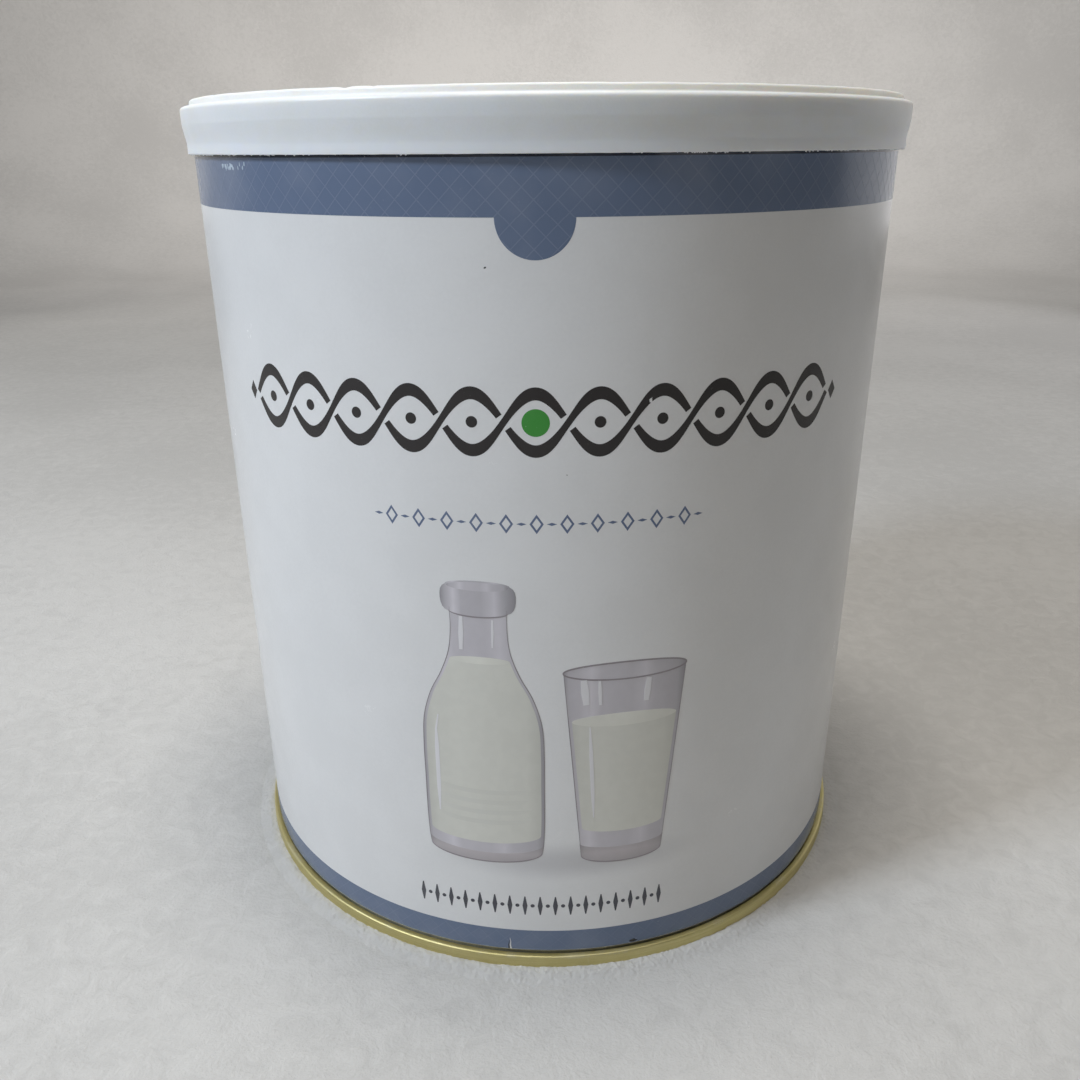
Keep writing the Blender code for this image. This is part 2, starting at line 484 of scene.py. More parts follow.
def smooth(obj, angle=SHARP):
    obj.data.shade_smooth()
    obj.data.set_sharp_from_angle(angle=angle)


def hand_over(obj, slot, *nodes):
    """Hangs a piece under the root body, and hides the CAD nodes that it takes the place of."""
    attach(obj, "root")
    if nodes:
        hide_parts(*nodes)


def new_object(name, mesh):
    obj = bpy.data.objects.new(name, mesh)
    bpy.context.scene.collection.objects.link(obj)
    return obj


def mesh_from(bm, name):
    mesh = bpy.data.meshes.new(name)
    bm.to_mesh(mesh)
    bm.free()
    return mesh


def rounded(corners):
    """Points of an outline whose corners are (radius from the axis, height, rounding)."""
    points = []
    for index, (across, up, rounding) in enumerate(corners):
        corner = Vector((across, up))
        if rounding == 0:
            points.append(corner)
            continue
        back = (Vector(corners[index - 1][:2]) - corner).normalized()
        ahead = (Vector(corners[index + 1][:2]) - corner).normalized()
        half = back.angle(ahead) / 2
        centre = corner + (back + ahead).normalized() * rounding / math.sin(half)
        start = corner + back * rounding / math.tan(half) - centre
        side = 1 if back.x * ahead.y - back.y * ahead.x < 0 else -1
        for step in range(ROUND_STEPS + 1):
            turn = side * (math.pi - 2 * half) * step / ROUND_STEPS
            points.append(centre + Matrix.Rotation(turn, 2) @ start)
    return points


# Lines of an outline that lie this near the axis take few rings
CORE_IN, CORE_OUT, CORE_RINGS = 0.03, 0.06, 3


def turned(name, corners, material, longest=0.004, shape=None):
    """A solid turned about Z from corners that run down its outer side, closed at the axis."""
    steps = TURN_STEPS
    points = []
    outline = rounded(corners)
    for first, second in zip(outline, outline[1:]):
        pieces = max(1, math.ceil((second - first).length / longest))
        if first.x < CORE_IN and second.x < CORE_OUT:
            pieces = min(pieces, CORE_RINGS)
        points.extend(first.lerp(second, step / pieces) for step in range(pieces))
    points.append(outline[-1])
    inner = points[1:-1]
    verts = [(0.0, 0.0, points[0].y), (0.0, 0.0, points[-1].y)]
    for radius, height in inner:
        for step in range(steps):
            angle = math.tau * step / steps
            spot = Vector((radius * math.sin(angle), -radius * math.cos(angle), height))
            verts.append(shape(spot, radius, angle) if shape else spot)
    faces = []
    rows = len(inner)
    for step in range(steps):
        after = (step + 1) % steps
        faces.append((0, 2 + after, 2 + step))
        last = 2 + (rows - 1) * steps
        faces.append((1, last + step, last + after))
    for row in range(rows - 1):
        here = 2 + row * steps
        below = here + steps
        for step in range(steps):
            after = (step + 1) % steps
            faces.append((here + step, here + after, below + after, below + step))
    mesh = bpy.data.meshes.new(name)
    mesh.from_pydata(verts, [], faces)
    bm = bmesh.new()
    bm.from_mesh(mesh)
    bmesh.ops.recalc_face_normals(bm, faces=bm.faces)
    bm.to_mesh(mesh)
    bm.free()
    mesh.materials.append(material)
    obj = new_object(name, mesh)
    smooth(obj)
    return obj


def cut_in_steps(bm, axis, step):
    """Cuts flat work along one axis, so that it can bend."""
    places = [vert.co[axis] for vert in bm.verts]
    low, high = min(places), max(places)
    normal = Vector((0, 0, 0))
    normal[axis] = 1.0
    for index in range(1, math.ceil((high - low) / step)):
        middle = Vector((0, 0, 0))
        middle[axis] = low + index * step
        everything = bm.verts[:] + bm.edges[:] + bm.faces[:]
        bmesh.ops.bisect_plane(bm, geom=everything, plane_co=middle, plane_no=normal, dist=CUT_REACH)


def map_film(bm):
    """Lays the print's own map over it, as shares of its width and height."""
    across = [vert.co.x for vert in bm.verts]
    up = [vert.co.z for vert in bm.verts]
    left, right, foot, top = min(across), max(across), min(up), max(up)
    layer = bm.loops.layers.uv.new("print")
    for face in bm.faces:
        for loop in face.loops:
            spot = loop.vert.co
            loop[layer].uv = ((spot.x - left) / (right - left), (spot.z - foot) / (top - foot))


def film(name, shapes, lift, step=FILM_STEP, rise=FILM_RISE):
    """Flat shapes of (across, up) as one closed film of ink, cut fine enough to bend."""
    bm = bmesh.new()
    for shape in shapes:
        bm.faces.new([bm.verts.new((across, -lift, up)) for across, up in shape])
    bmesh.ops.remove_doubles(bm, verts=bm.verts, dist=WELD)
    if step:
        cut_in_steps(bm, 0, step)
    if rise:
        cut_in_steps(bm, 2, rise)
    shell = bmesh.ops.extrude_face_region(bm, geom=bm.faces[:], use_keep_orig=True)
    behind = [part for part in shell["geom"] if isinstance(part, bmesh.types.BMVert)]
    bmesh.ops.translate(bm, verts=behind, vec=(0, lift + FILM_SINK, 0))
    bmesh.ops.recalc_face_normals(bm, faces=bm.faces)
    map_film(bm)
    return new_object(name, mesh_from(bm, name))


def trim(obj, left, right):
    """Cuts flat work off at both ends of the sheet and closes the cuts."""
    bm = bmesh.new()
    bm.from_mesh(obj.data)
    for edge, side in ((left, -1.0), (right, 1.0)):
        everything = bm.verts[:] + bm.edges[:] + bm.faces[:]
        plane = {"plane_co": (edge, 0, 0), "plane_no": (side, 0, 0)}
        bmesh.ops.bisect_plane(bm, geom=everything, dist=CUT_REACH, clear_outer=True, **plane)
        rim = [part for part in bm.edges if part.is_boundary]
        bmesh.ops.holes_fill(bm, edges=rim, sides=0)
    bm.to_mesh(obj.data)
    bm.free()


def sheet_ends(label):
    """Where the label's sheet starts and ends, as arc from the middle of its front."""
    half_round = math.pi * label.radius
    return -half_round, half_round + label.lap


def wrap_values(label, material):
    return {
        "Radius": label.radius, "Ripple": label.ripple, "Lap Start": -sheet_ends(label)[0] - LAP_SLOPE,
        "Lap Rise": label.paper + LAP_AIR, "Material": material,
    }


def wrap(obj, material):
    """Bends flat print round the label, over its lap and ripples."""
    label = bpy.context.scene.tin_label
    add_tree(obj, "Wrap Round Tin", wrap_values(label, material))
    settle(obj)
    smooth(obj)
    hand_over(obj, "label_paper")


def repeat(obj, count, pitch, material, left_out=-1):
    values = {"Count": count, "Pitch": pitch, "Left Out": left_out, "Material": material}
    add_tree(obj, "Repeat In A Row", values)
    settle(obj)


def print_row(name, shapes, count, pitch, ink, left_out=-1):
    """A motif printed in a row round the label."""
    motif = film(name, shapes, INK_LIFT)
    repeat(motif, count, pitch, ink, left_out)
    wrap(motif, ink)


def ellipse(across, up, half_width, half_height, sides=36):
    turns = (math.tau * index / sides for index in range(sides))
    return [(across + half_width * math.cos(turn), up + half_height * math.sin(turn)) for turn in turns]


def disc(across, up, radius, sides=28):
    return ellipse(across, up, radius, radius, sides)


def lozenge(across, up, half_width, half_height):
    sides = [(-half_width, 0.0), (0.0, -half_height), (half_width, 0.0), (0.0, half_height)]
    return [(across + aside, up + above) for aside, above in sides]


def stroke(points, widths):
    """Quads of a line with its own width at each point, from its left end to its right."""
    left, right = [], []
    for index, point in enumerate(points):
        ahead = Vector(points[min(index + 1, len(points) - 1)]) - Vector(points[max(index - 1, 0)])
        aside = Vector((-ahead.y, ahead.x)).normalized() * widths[index] / 2
        left.append(tuple(Vector(point) + aside))
        right.append(tuple(Vector(point) - aside))
    return [
        [right[index], right[index + 1], left[index + 1], left[index]] for index in range(len(points) - 1)
    ]


def curve_through(points, steps=8):
    """A smooth line through points."""
    spots = [Vector(point) for point in points]
    line = []
    for index in range(len(spots) - 1):
        before = spots[max(index - 1, 0)]
        here, there = spots[index], spots[index + 1]
        after = spots[min(index + 2, len(spots) - 1)]
        for step in range(steps):
            t = step / steps
            near = 2 * here + (there - before) * t
            near += (2 * before - 5 * here + 4 * there - after) * t * t
            near += (3 * here - before - 3 * there + after) * t * t * t
            line.append(tuple(near / 2))
    line.append(tuple(spots[-1]))
    return line


def arc(centre, half_width, height, rise, steps=24, start=math.pi, end=0.0):
    """Half an ellipse, from its left end over its top if rise is positive."""
    turns = (start + (end - start) * step / steps for step in range(steps + 1))
    return [(centre + half_width * math.cos(turn), height + rise * math.sin(turn)) for turn in turns]


def fine_grain_group():
    """Grain that shades and roughens a surface: a broad cloud and a fine tooth."""
    inputs = {"Vector": None, "Cloud Scale": 40.0, "Tooth Scale": 900.0, "Cloud Share": 0.5}
    outputs = {"Tone": "Float", "Height": "Float"}
    grown, entry, end = group("Fine Grain", "ShaderNodeTree", inputs, outputs)
    cloud = grown.noise(entry["Vector"], entry["Cloud Scale"], detail=3.0)
    tooth = grown.noise(entry["Vector"], entry["Tooth Scale"], detail=2.0)
    grown.feed(end["Tone"], grown.plus(grown.times(cloud, 0.7), grown.times(tooth, 0.3)))
    share = entry["Cloud Share"]
    rest = grown.minus(1.0, share)
    grown.feed(end["Height"], grown.plus(grown.times(cloud, share), grown.times(tooth, rest)))


def handling_group():
    """Thin scratches and worn spots from handling, sparse and in patches."""
    inputs = {"Vector": None, "Scale": 60.0, "Amount": 0.3}
    outputs = {"Scratches": "Float", "Rub": "Float"}
    grown, entry, end = group("Handling Wear", "ShaderNodeTree", inputs, outputs)
    drawn = grown.stretch(entry["Vector"], (1.0, 1.0, 0.22))
    across = grown.stretch(entry["Vector"], (0.2, 0.25, 1.0))
    lines = []
    for vector, size in ((drawn, 1.0), (across, 1.4)):
        field = grown.noise(vector, grown.times(entry["Scale"], size), detail=1.0, distortion=0.6)
        near = grown.math("ABSOLUTE", grown.minus(field, 0.5))
        lines.append(grown.span(near, 0.0, 0.006, 1.0, 0.0))
    patches = grown.noise(entry["Vector"], grown.times(entry["Scale"], 0.7), detail=2.0)
    there = grown.span(patches, 0.62, 0.72)
    lined = grown.times(grown.math("MAXIMUM", *lines), there)
    grown.feed(end["Scratches"], grown.times(lined, entry["Amount"], clamp=True))
    rub_and_shade = grown.span(patches, 0.45, 0.75)
    grown.feed(end["Rub"], grown.times(rub_and_shade, entry["Amount"], clamp=True))


def ink_group():
    """Ink on coated paper: its density wanders a little, and pinholes show the paper."""
    inputs = {
        "Vector": None, "Ink": (0.1, 0.1, 0.1, 1.0), "Paper": (0.8, 0.8, 0.8, 1.0), "Fade": 0.05,
        "Pinholes": 0.4,
    }
    grown, entry, end = group("Printed Ink", "ShaderNodeTree", inputs, {"Color": "Color"})
    cloud = grown.noise(entry["Vector"], 90.0, detail=4.0)
    thin = grown.times(grown.span(cloud, 0.4, 0.75), entry["Fade"])
    pin = grown.noise(entry["Vector"], 2100.0, detail=0.0)
    hole = grown.times(grown.span(pin, 0.80, 0.84), entry["Pinholes"])
    share = grown.plus(thin, hole, clamp=True)
    grown.feed(end["Color"], grown.mix(share, entry["Ink"], entry["Paper"]))


def turned_group():
    """Fine lines that run round the axis, as rolling and turning leave them."""
    inputs = {"Vector": None, "Lines": 2600.0, "Breaks": 3.0}
    outputs = {"Height": "Float", "Tone": "Float"}
    grown, entry, end = group("Turned Lines", "ShaderNodeTree", inputs, outputs)
    spot = grown.split(entry["Vector"])
    flat = grown.math("SQRT", grown.squares(spot[0], spot[1]))
    angle = grown.math("ARCTAN2", spot[1], spot[0])
    turn = grown.join(
        grown.times(grown.math("COSINE", angle), entry["Breaks"]),
        grown.times(grown.math("SINE", angle), entry["Breaks"]),
        grown.times(grown.plus(flat, spot[2]), entry["Lines"]),
    )
    lines = grown.noise(turn, 1.0, detail=3.0, roughness=0.6)
    grown.feed(end["Height"], lines)
    grown.feed(end["Tone"], grown.span(lines, 0.3, 0.7))


def build_shader_groups():
    for make in (fine_grain_group, handling_group, ink_group, turned_group):
        make()


def place_group(grown, name, **inputs):
    """A shader group's node; each input is named with an underscore for its space."""
    node = grown.add("ShaderNodeGroup", node_tree=bpy.data.node_groups[name])
    for key, value in inputs.items():
        grown.feed(node.inputs[key.replace("_", " ")], value)
    return node.outputs


def fine_grain(grown, spot, cloud, tooth, share):
    sizes = {"Cloud_Scale": cloud, "Tooth_Scale": tooth, "Cloud_Share": share}
    return place_group(grown, "Fine Grain", Vector=spot, **sizes)


def handling_wear(grown, spot, scale, amount):
    return place_group(grown, "Handling Wear", Vector=spot, Scale=scale, Amount=amount)


def turned_lines(grown, spot, lines, breaks):
    return place_group(grown, "Turned Lines", Vector=spot, Lines=lines, Breaks=breaks)


def tint(colour, *shares):
    """An opaque colour whose parts are scaled, all by one share or each by its own."""
    if len(shares) < len(colour):
        shares = shares * len(colour)
    return (*[min(1.0, part * share) for part, share in zip(colour, shares)], 1.0)


def new_finish(name):
    """A material, its tree, its shader's inputs and the object coordinates."""
    finish = bpy.data.materials.new(name)
    finish.use_nodes = True
    grown = Tree(finish.node_tree)
    shader = finish.node_tree.nodes["Principled BSDF"].inputs
    spot = grown.add("ShaderNodeTexCoord").outputs["Object"]
    return finish, grown, shader, spot


def clouds(grown, grain, dim, plain):
    """A colour with soft clouds of a dimmer one."""
    return grown.mix(grown.span(grain["Tone"], 0.35, 0.65), dim, plain)


def coated_surface(grown, shader, spot):
    """The gloss of coated paper, the same bare and under ink. Gives its grain and its wear."""
    grain = fine_grain(grown, spot, 70.0, 1500.0, 0.35)
    wear = handling_wear(grown, spot, 46.0, 0.05)
    low, high = PAPER_GLOSS - 0.035, PAPER_GLOSS + 0.035
    patchy = grown.span(grain["Tone"], 0.3, 0.7, low, high, kind="LINEAR")
    worn = grown.times(wear["Scratches"], 0.16)
    grown.feed(shader["Roughness"], grown.plus(patchy, worn, clamp=True))
    grown.feed(shader["Normal"], grown.bump(grain["Height"], 0.000022))
    shader["IOR"].default_value = COAT_IOR
    return grain, wear


def paper_white(grown, grain):
    white = bpy.context.scene.tin_label.paper_colour
    return clouds(grown, grain, tint(white, PAPER_CLOUD), tint(white, 1.0))


def paper_finish():
    finish, grown, shader, spot = new_finish("coated_paper")
    grain, wear = coated_surface(grown, shader, spot)
    grey = (0.66, 0.655, 0.64, 1.0)
    share = grown.times(wear["Scratches"], 0.28)
    grown.feed(shader["Base Color"], grown.mix(share, paper_white(grown, grain), grey))
    return finish


def ink_finish(name, colour, fade=0.05, pinholes=0.15):
    finish, grown, shader, spot = new_finish(name)
    coated_surface(grown, shader, spot)
    paper = tint(bpy.context.scene.tin_label.paper_colour, 1.0)
    inks = {"Ink": (*colour, 1.0), "Paper": paper, "Fade": fade, "Pinholes": pinholes}
    ink = place_group(grown, "Printed Ink", Vector=spot, **inks)
    grown.feed(shader["Base Color"], ink["Color"])
    return finish


def own_map(grown):
    """Shares of the way across the print's own map and up it."""
    return grown.split(grown.add("ShaderNodeUVMap", uv_map="print").outputs[0])


def toned_finish(name, across, up=None):
    """Ink whose tone runs across its own map, and up it too if asked."""
    finish, grown, shader, spot = new_finish(name)
    coated_surface(grown, shader, spot)
    share = own_map(grown)
    tone = grown.ramp(share[0], across)
    if up:
        tone = grown.mix(0.5, tone, grown.ramp(share[1], up))
    cloud = grown.noise(spot, 420.0, detail=4.0)
    dark = grown.add("ShaderNodeHueSaturation", {"Value": 0.975, "Color": tone}).outputs[0]
    grown.feed(shader["Base Color"], grown.mix(grown.span(cloud, 0.35, 0.65), dark, tone))
    return finish


def shadow_finish():
    """A soft shadow printed on the paper, which fades to the paper's own white at its edge."""
    finish, grown, shader, spot = new_finish("printed_shadow")
    grain = coated_surface(grown, shader, spot)[0]
    share = own_map(grown)
    aside = grown.times(grown.minus(share[0], 0.5), 2.0)
    above = grown.times(grown.minus(share[1], 0.5), 2.0)
    reach = grown.math("SQRT", grown.squares(aside, above))
    depth = grown.span(reach, 0.1, 0.98, 0.5, 0.0)
    grown.feed(shader["Base Color"], grown.mix(depth, paper_white(grown, grain), (0.42, 0.41, 0.43, 1.0)))
    return finish


def lid_finish():
    """Soft white plastic, with painted light: paler towards the lip, and a darker top panel as painted shade.
    """
    colour = bpy.context.scene.tin_lid.colour
    finish, grown, shader, spot = new_finish("moulded_plastic")
    grain = fine_grain(grown, spot, 110.0, 2400.0, 0.3)
    wear = handling_wear(grown, spot, 85.0, 0.8)
    lines = turned_lines(grown, spot, 900.0, 2.0)
    clouded = clouds(grown, grain, tint(colour, 1.0), tint(colour, 0.97, 0.965, 0.94))
    across, along, height = grown.split(spot)
    # Painted light: the skirt is lighter towards the lip, and the top panel inside the ring is darker as
    # painted shade.
    lip_light = (0.940, 0.940, 0.925, 1.0)
    lip_light_share = grown.span(height, LID_LOW.z + 0.0006, LID_LOW.z + 0.0042, 1.0, 0.0)
    panel_edge, ring_wall = 0.0740, 0.0762
    reach = grown.squares(across, along)
    top_shade_share = grown.span(reach, panel_edge ** 2, ring_wall ** 2, 1.0, 0.0)
    lipped = grown.mix(lip_light_share, clouded, lip_light)
    shaded = grown.mix(top_shade_share, lipped, tint(colour, 0.83, 0.825, 0.80))
    soil = (0.50, 0.49, 0.46, 1.0)
    grown.feed(shader["Base Color"], grown.mix(grown.times(wear["Scratches"], 0.35), shaded, soil))
    rough = grown.span(lines["Tone"], 0.0, 1.0, 0.37, 0.45, kind="LINEAR")
    grown.feed(shader["Roughness"], grown.plus(rough, grown.times(wear["Rub"], 0.12), clamp=True))
    fine = grown.bump(grain["Height"], 0.00002)
    fine = grown.bump(lines["Height"], 0.000012, under=fine)
    scratched = grown.bump(grown.times(wear["Scratches"], -1.0), 0.00003, under=fine)
    grown.feed(shader["Normal"], scratched)
    shader["IOR"].default_value = 1.5
    shader["Subsurface Weight"].default_value = 0.5
    shader["Subsurface Radius"].default_value = (0.0024, 0.0019, 0.0013)
    shader["Subsurface Scale"].default_value = 1.0
    return finish


def lacquer_finish():
    """Gold lacquer over steel, chafed pale along the crown of the seam."""
    colour = bpy.context.scene.tin_can.lacquer
    finish, grown, shader, spot = new_finish("gold_lacquered_sheet")
    lines = turned_lines(grown, spot, 5200.0, 5.0)
    wear = handling_wear(grown, spot, 140.0, 0.5)
    grain = fine_grain(grown, spot, 130.0, 3200.0, 0.5)
    deep = tint(colour, 0.86, 0.85, 0.72)
    streaked = grown.mix(lines["Tone"], deep, tint(colour, 1.0))
    clouded = grown.mix(grown.span(grain["Tone"], 0.4, 0.62, 0.0, 0.4), streaked, deep)
    bare = (0.74, 0.71, 0.60, 1.0)
    crown = grown.span(grown.split(spot)[2], 0.0028, 0.0034)
    chafed = grown.times(crown, grown.span(grain["Tone"], 0.50, 0.62, 0.0, 0.3))
    worn = grown.math("MAXIMUM", chafed, grown.times(wear["Scratches"], 0.7))
    grown.feed(shader["Base Color"], grown.mix(worn, clouded, bare))
    grown.feed(shader["Roughness"], grown.span(grain["Tone"], 0.3, 0.7, 0.46, 0.60, kind="LINEAR"))
    fine = grown.bump(lines["Height"], 0.00001)
    grown.feed(shader["Normal"], grown.bump(grain["Height"], 0.00004, under=fine))
    shader["Metallic"].default_value = 1.0
    return finish


def tinplate_finish():
    """Bare drawn steel, dull in patches."""
    colour = bpy.context.scene.tin_can.tinplate
    finish, grown, shader, spot = new_finish("bare_tinplate")
    lines = turned_lines(grown, spot, 3800.0, 4.0)
    grain = fine_grain(grown, spot, 160.0, 2800.0, 0.6)
    wear = handling_wear(grown, spot, 120.0, 0.8)
    dull = tint(colour, 0.62, 0.61, 0.55)
    spangled = grown.mix(grown.span(grain["Tone"], 0.38, 0.64), dull, tint(colour, 1.0))
    grown.feed(shader["Base Color"], grown.mix(wear["Scratches"], spangled, (0.7, 0.69, 0.66, 1.0)))
    grown.feed(shader["Roughness"], grown.span(lines["Tone"], 0.0, 1.0, 0.48, 0.62, kind="LINEAR"))
    grown.feed(shader["Normal"], grown.bump(lines["Height"], 0.00001))
    shader["Metallic"].default_value = 0.6
    return finish


def cloth_finish():
    """The pale cloth of the floor: matted fibres with broad soft patches."""
    colour = bpy.context.scene.tin_stage.floor_colour
    finish, grown, shader, spot = new_finish("pale_cloth")
    patches = grown.noise(spot, 5.0, detail=4.0, roughness=0.55)
    matted = grown.noise(spot, 170.0, detail=5.0, roughness=0.65, distortion=0.8)
    fibres = grown.noise(spot, 1100.0, detail=2.0)
    share = grown.span(grown.plus(grown.times(patches, 0.55), grown.times(matted, 0.45)), 0.38, 0.62)
    grown.feed(shader["Base Color"], grown.mix(share, tint(colour, 0.93), tint(colour, 1.06)))
    shader["Roughness"].default_value = 0.95
    shader["Specular IOR Level"].default_value = 0.15
    pile = grown.plus(matted, grown.times(fibres, 0.5))
    grown.feed(shader["Normal"], grown.bump(pile, 0.0006, strength=0.6))
    return finish


class TinCommand(Operator):
    """Base of the tin's operators."""

    bl_options = {"REGISTER", "UNDO"}


class TIN_OT_bottom_end(TinCommand):
    """Make the gold-lacquered bottom end with its double seam"""

    bl_idname = "tin.bottom_end"
    bl_label = "Bottom end"

    SEAM_HEIGHT = END_HIGH.z
    SEAM_THICK = 0.00155
    PANEL_RADIUS = 0.0741
    PANEL_DEPTH = 0.0027
    COUNTERSINK = 0.0033
    RINGS = (0.0500, 0.0580, 0.0660)
    RING_STEP = 0.0005
    RING_SLOPE = 0.0012
    SHEET = 0.00035
    CREST = 0.0006

    # Radius from which the seam's outside is worked, and how wide that part is
    WORKED_FROM = 0.0768
    WORKED_WIDTH = 0.0018

    def outline(self):
        sheet, crest = self.SHEET, self.CREST
        seam_radius = END_HIGH.x
        seam_in = seam_radius - self.SEAM_THICK
        ditch_in = self.PANEL_RADIUS + crest
        ditch_out = ditch_in + 0.0007
        depth = self.PANEL_DEPTH - self.RING_STEP * len(self.RINGS)
        under = [(0, depth, 0)]
        for radius in self.RINGS:
            under.append((radius - self.RING_SLOPE / 2, depth, 0.0008))
            depth += self.RING_STEP
            under.append((radius + self.RING_SLOPE / 2, depth, 0.0008))
        under.append((self.PANEL_RADIUS, self.PANEL_DEPTH, 0.0003))
        under.append((ditch_in, self.COUNTERSINK, 0.0002))
        under.append((ditch_out, self.COUNTERSINK, 0.0002))
        upper = [
            (0, self.PANEL_DEPTH + sheet, 0),
            (self.PANEL_RADIUS, self.PANEL_DEPTH + sheet, 0),
            (ditch_in, self.COUNTERSINK + sheet, 0),
            (ditch_out, self.COUNTERSINK + sheet, 0),
            (seam_in, crest * 2, 0),
            (seam_in, self.SEAM_HEIGHT, 0.0003),
            (seam_radius - 0.0001, self.SEAM_HEIGHT, 0.00042),
            (seam_radius, self.SEAM_HEIGHT * 0.5, 0.004),
            (seam_radius - 0.00005, 0, 0.0006),
            (ditch_out + 0.0013, 0, 0.0006),
        ]
        return upper + under[::-1]

    def execute(self, context):
        def worked(spot, radius, angle):
            """The rolled seam's edge wanders a little, as the rollers leave it."""
            if radius < self.WORKED_FROM:
                return spot
            swell = noise.noise(Vector((math.sin(angle), math.cos(angle), 0.3)) * 9.0)
            ripple = noise.noise(Vector((math.sin(angle), math.cos(angle), 4.3)) * 40.0)
            share = (radius - self.WORKED_FROM) / self.WORKED_WIDTH
            spot.z += (swell * 0.00005 + ripple * 0.00001) * min(1.0, spot.z / 0.002)
            inward = 1 - share * (0.00004 + swell * 0.00004) / radius
            return Vector((spot.x * inward, spot.y * inward, spot.z))

        obj = turned("bottom_end_seamed", self.outline(), lacquer_finish(), shape=worked)
        hand_over(obj, "gold_lacquer", "bottom_end")
        return {"FINISHED"}


class TIN_OT_can(TinCommand):
    """Make the steel can that the label wraps"""

    bl_idname = "tin.can"
    bl_label = "Can"

    RADIUS = 0.07675
    RIM_WIDTH = 0.00155
    RIM_HEIGHT = 0.0034
    SUNK = 0.0033
    FLOOR = 0.004
    FOOT_WIDTH = 0.00035
    ROUND = 0.0006

    def outline(self):
        rim_in = CAN_HIGH.x - self.RIM_WIDTH
        rim_top, foot = CAN_HIGH.z, CAN_LOW.z
        sunk, rim_foot = rim_top - self.SUNK, rim_top - self.RIM_HEIGHT
        return [
            (0, sunk, 0),
            (rim_in, sunk, 0.0005),
            (rim_in, rim_top, self.ROUND),
            (CAN_HIGH.x, rim_top, self.ROUND),
            (CAN_HIGH.x, rim_foot, 0.0004),
            (self.RADIUS, rim_foot, self.ROUND),
            (self.RADIUS, foot, 0),
            (self.RADIUS - self.FOOT_WIDTH, foot, 0),
            (self.RADIUS - self.FOOT_WIDTH - self.ROUND, self.FLOOR, 0),
            (0, self.FLOOR, 0),
        ]

    def execute(self, context):
        obj = turned("can_wall", self.outline(), tinplate_finish(), longest=0.012)
        hand_over(obj, "tinplate", "body")
        return {"FINISHED"}


class TIN_OT_label(TinCommand):
    """Make the paper label as one sheet wrapped round the can"""

    bl_idname = "tin.label"
    bl_label = "Label"

    def execute(self, context):
        label = context.scene.tin_label
        start, end = sheet_ends(label)
        obj = new_object("paper_label", bpy.data.meshes.new("paper_label"))
        values = {
            "Length": end - start, "Foot": label.foot, "Top": label.top, "Paper": label.paper,
            "Start": start, "Foot Wave": label.foot_wave, **wrap_values(label, paper_finish()),
        }
        add_tree(obj, "Label Sheet", values)
        settle(obj)
        smooth(obj)
        hand_over(obj, "label_paper", "label")
        return {"FINISHED"}


class TIN_OT_bands(TinCommand):
    """Print the slate band with its tab under the lid, and the narrow band at the foot"""

    bl_idname = "tin.bands"
    bl_label = "Bands"

    def execute(self, context):
        label = context.scene.tin_label
        start, end = sheet_ends(label)
        radius = label.tab_radius
        edge = label.band_low
        tab = arc(label.tab_place, radius, edge, -radius, steps=40)
        upper = [(start, edge)] + tab + [(end, edge), (end, label.top), (start, label.top)]
        slate = ink_finish("slate_ink", label.band_colour, fade=0.05, pinholes=0.03)
        wrap(film("upper_band", [upper], INK_LIFT), slate)
        foot = label.foot + 0.00006
        lower = [(start, foot), (end, foot), (end, label.foot_band), (start, label.foot_band)]
        wrap(film("foot_band", [lower], INK_LIFT), slate)
        return {"FINISHED"}


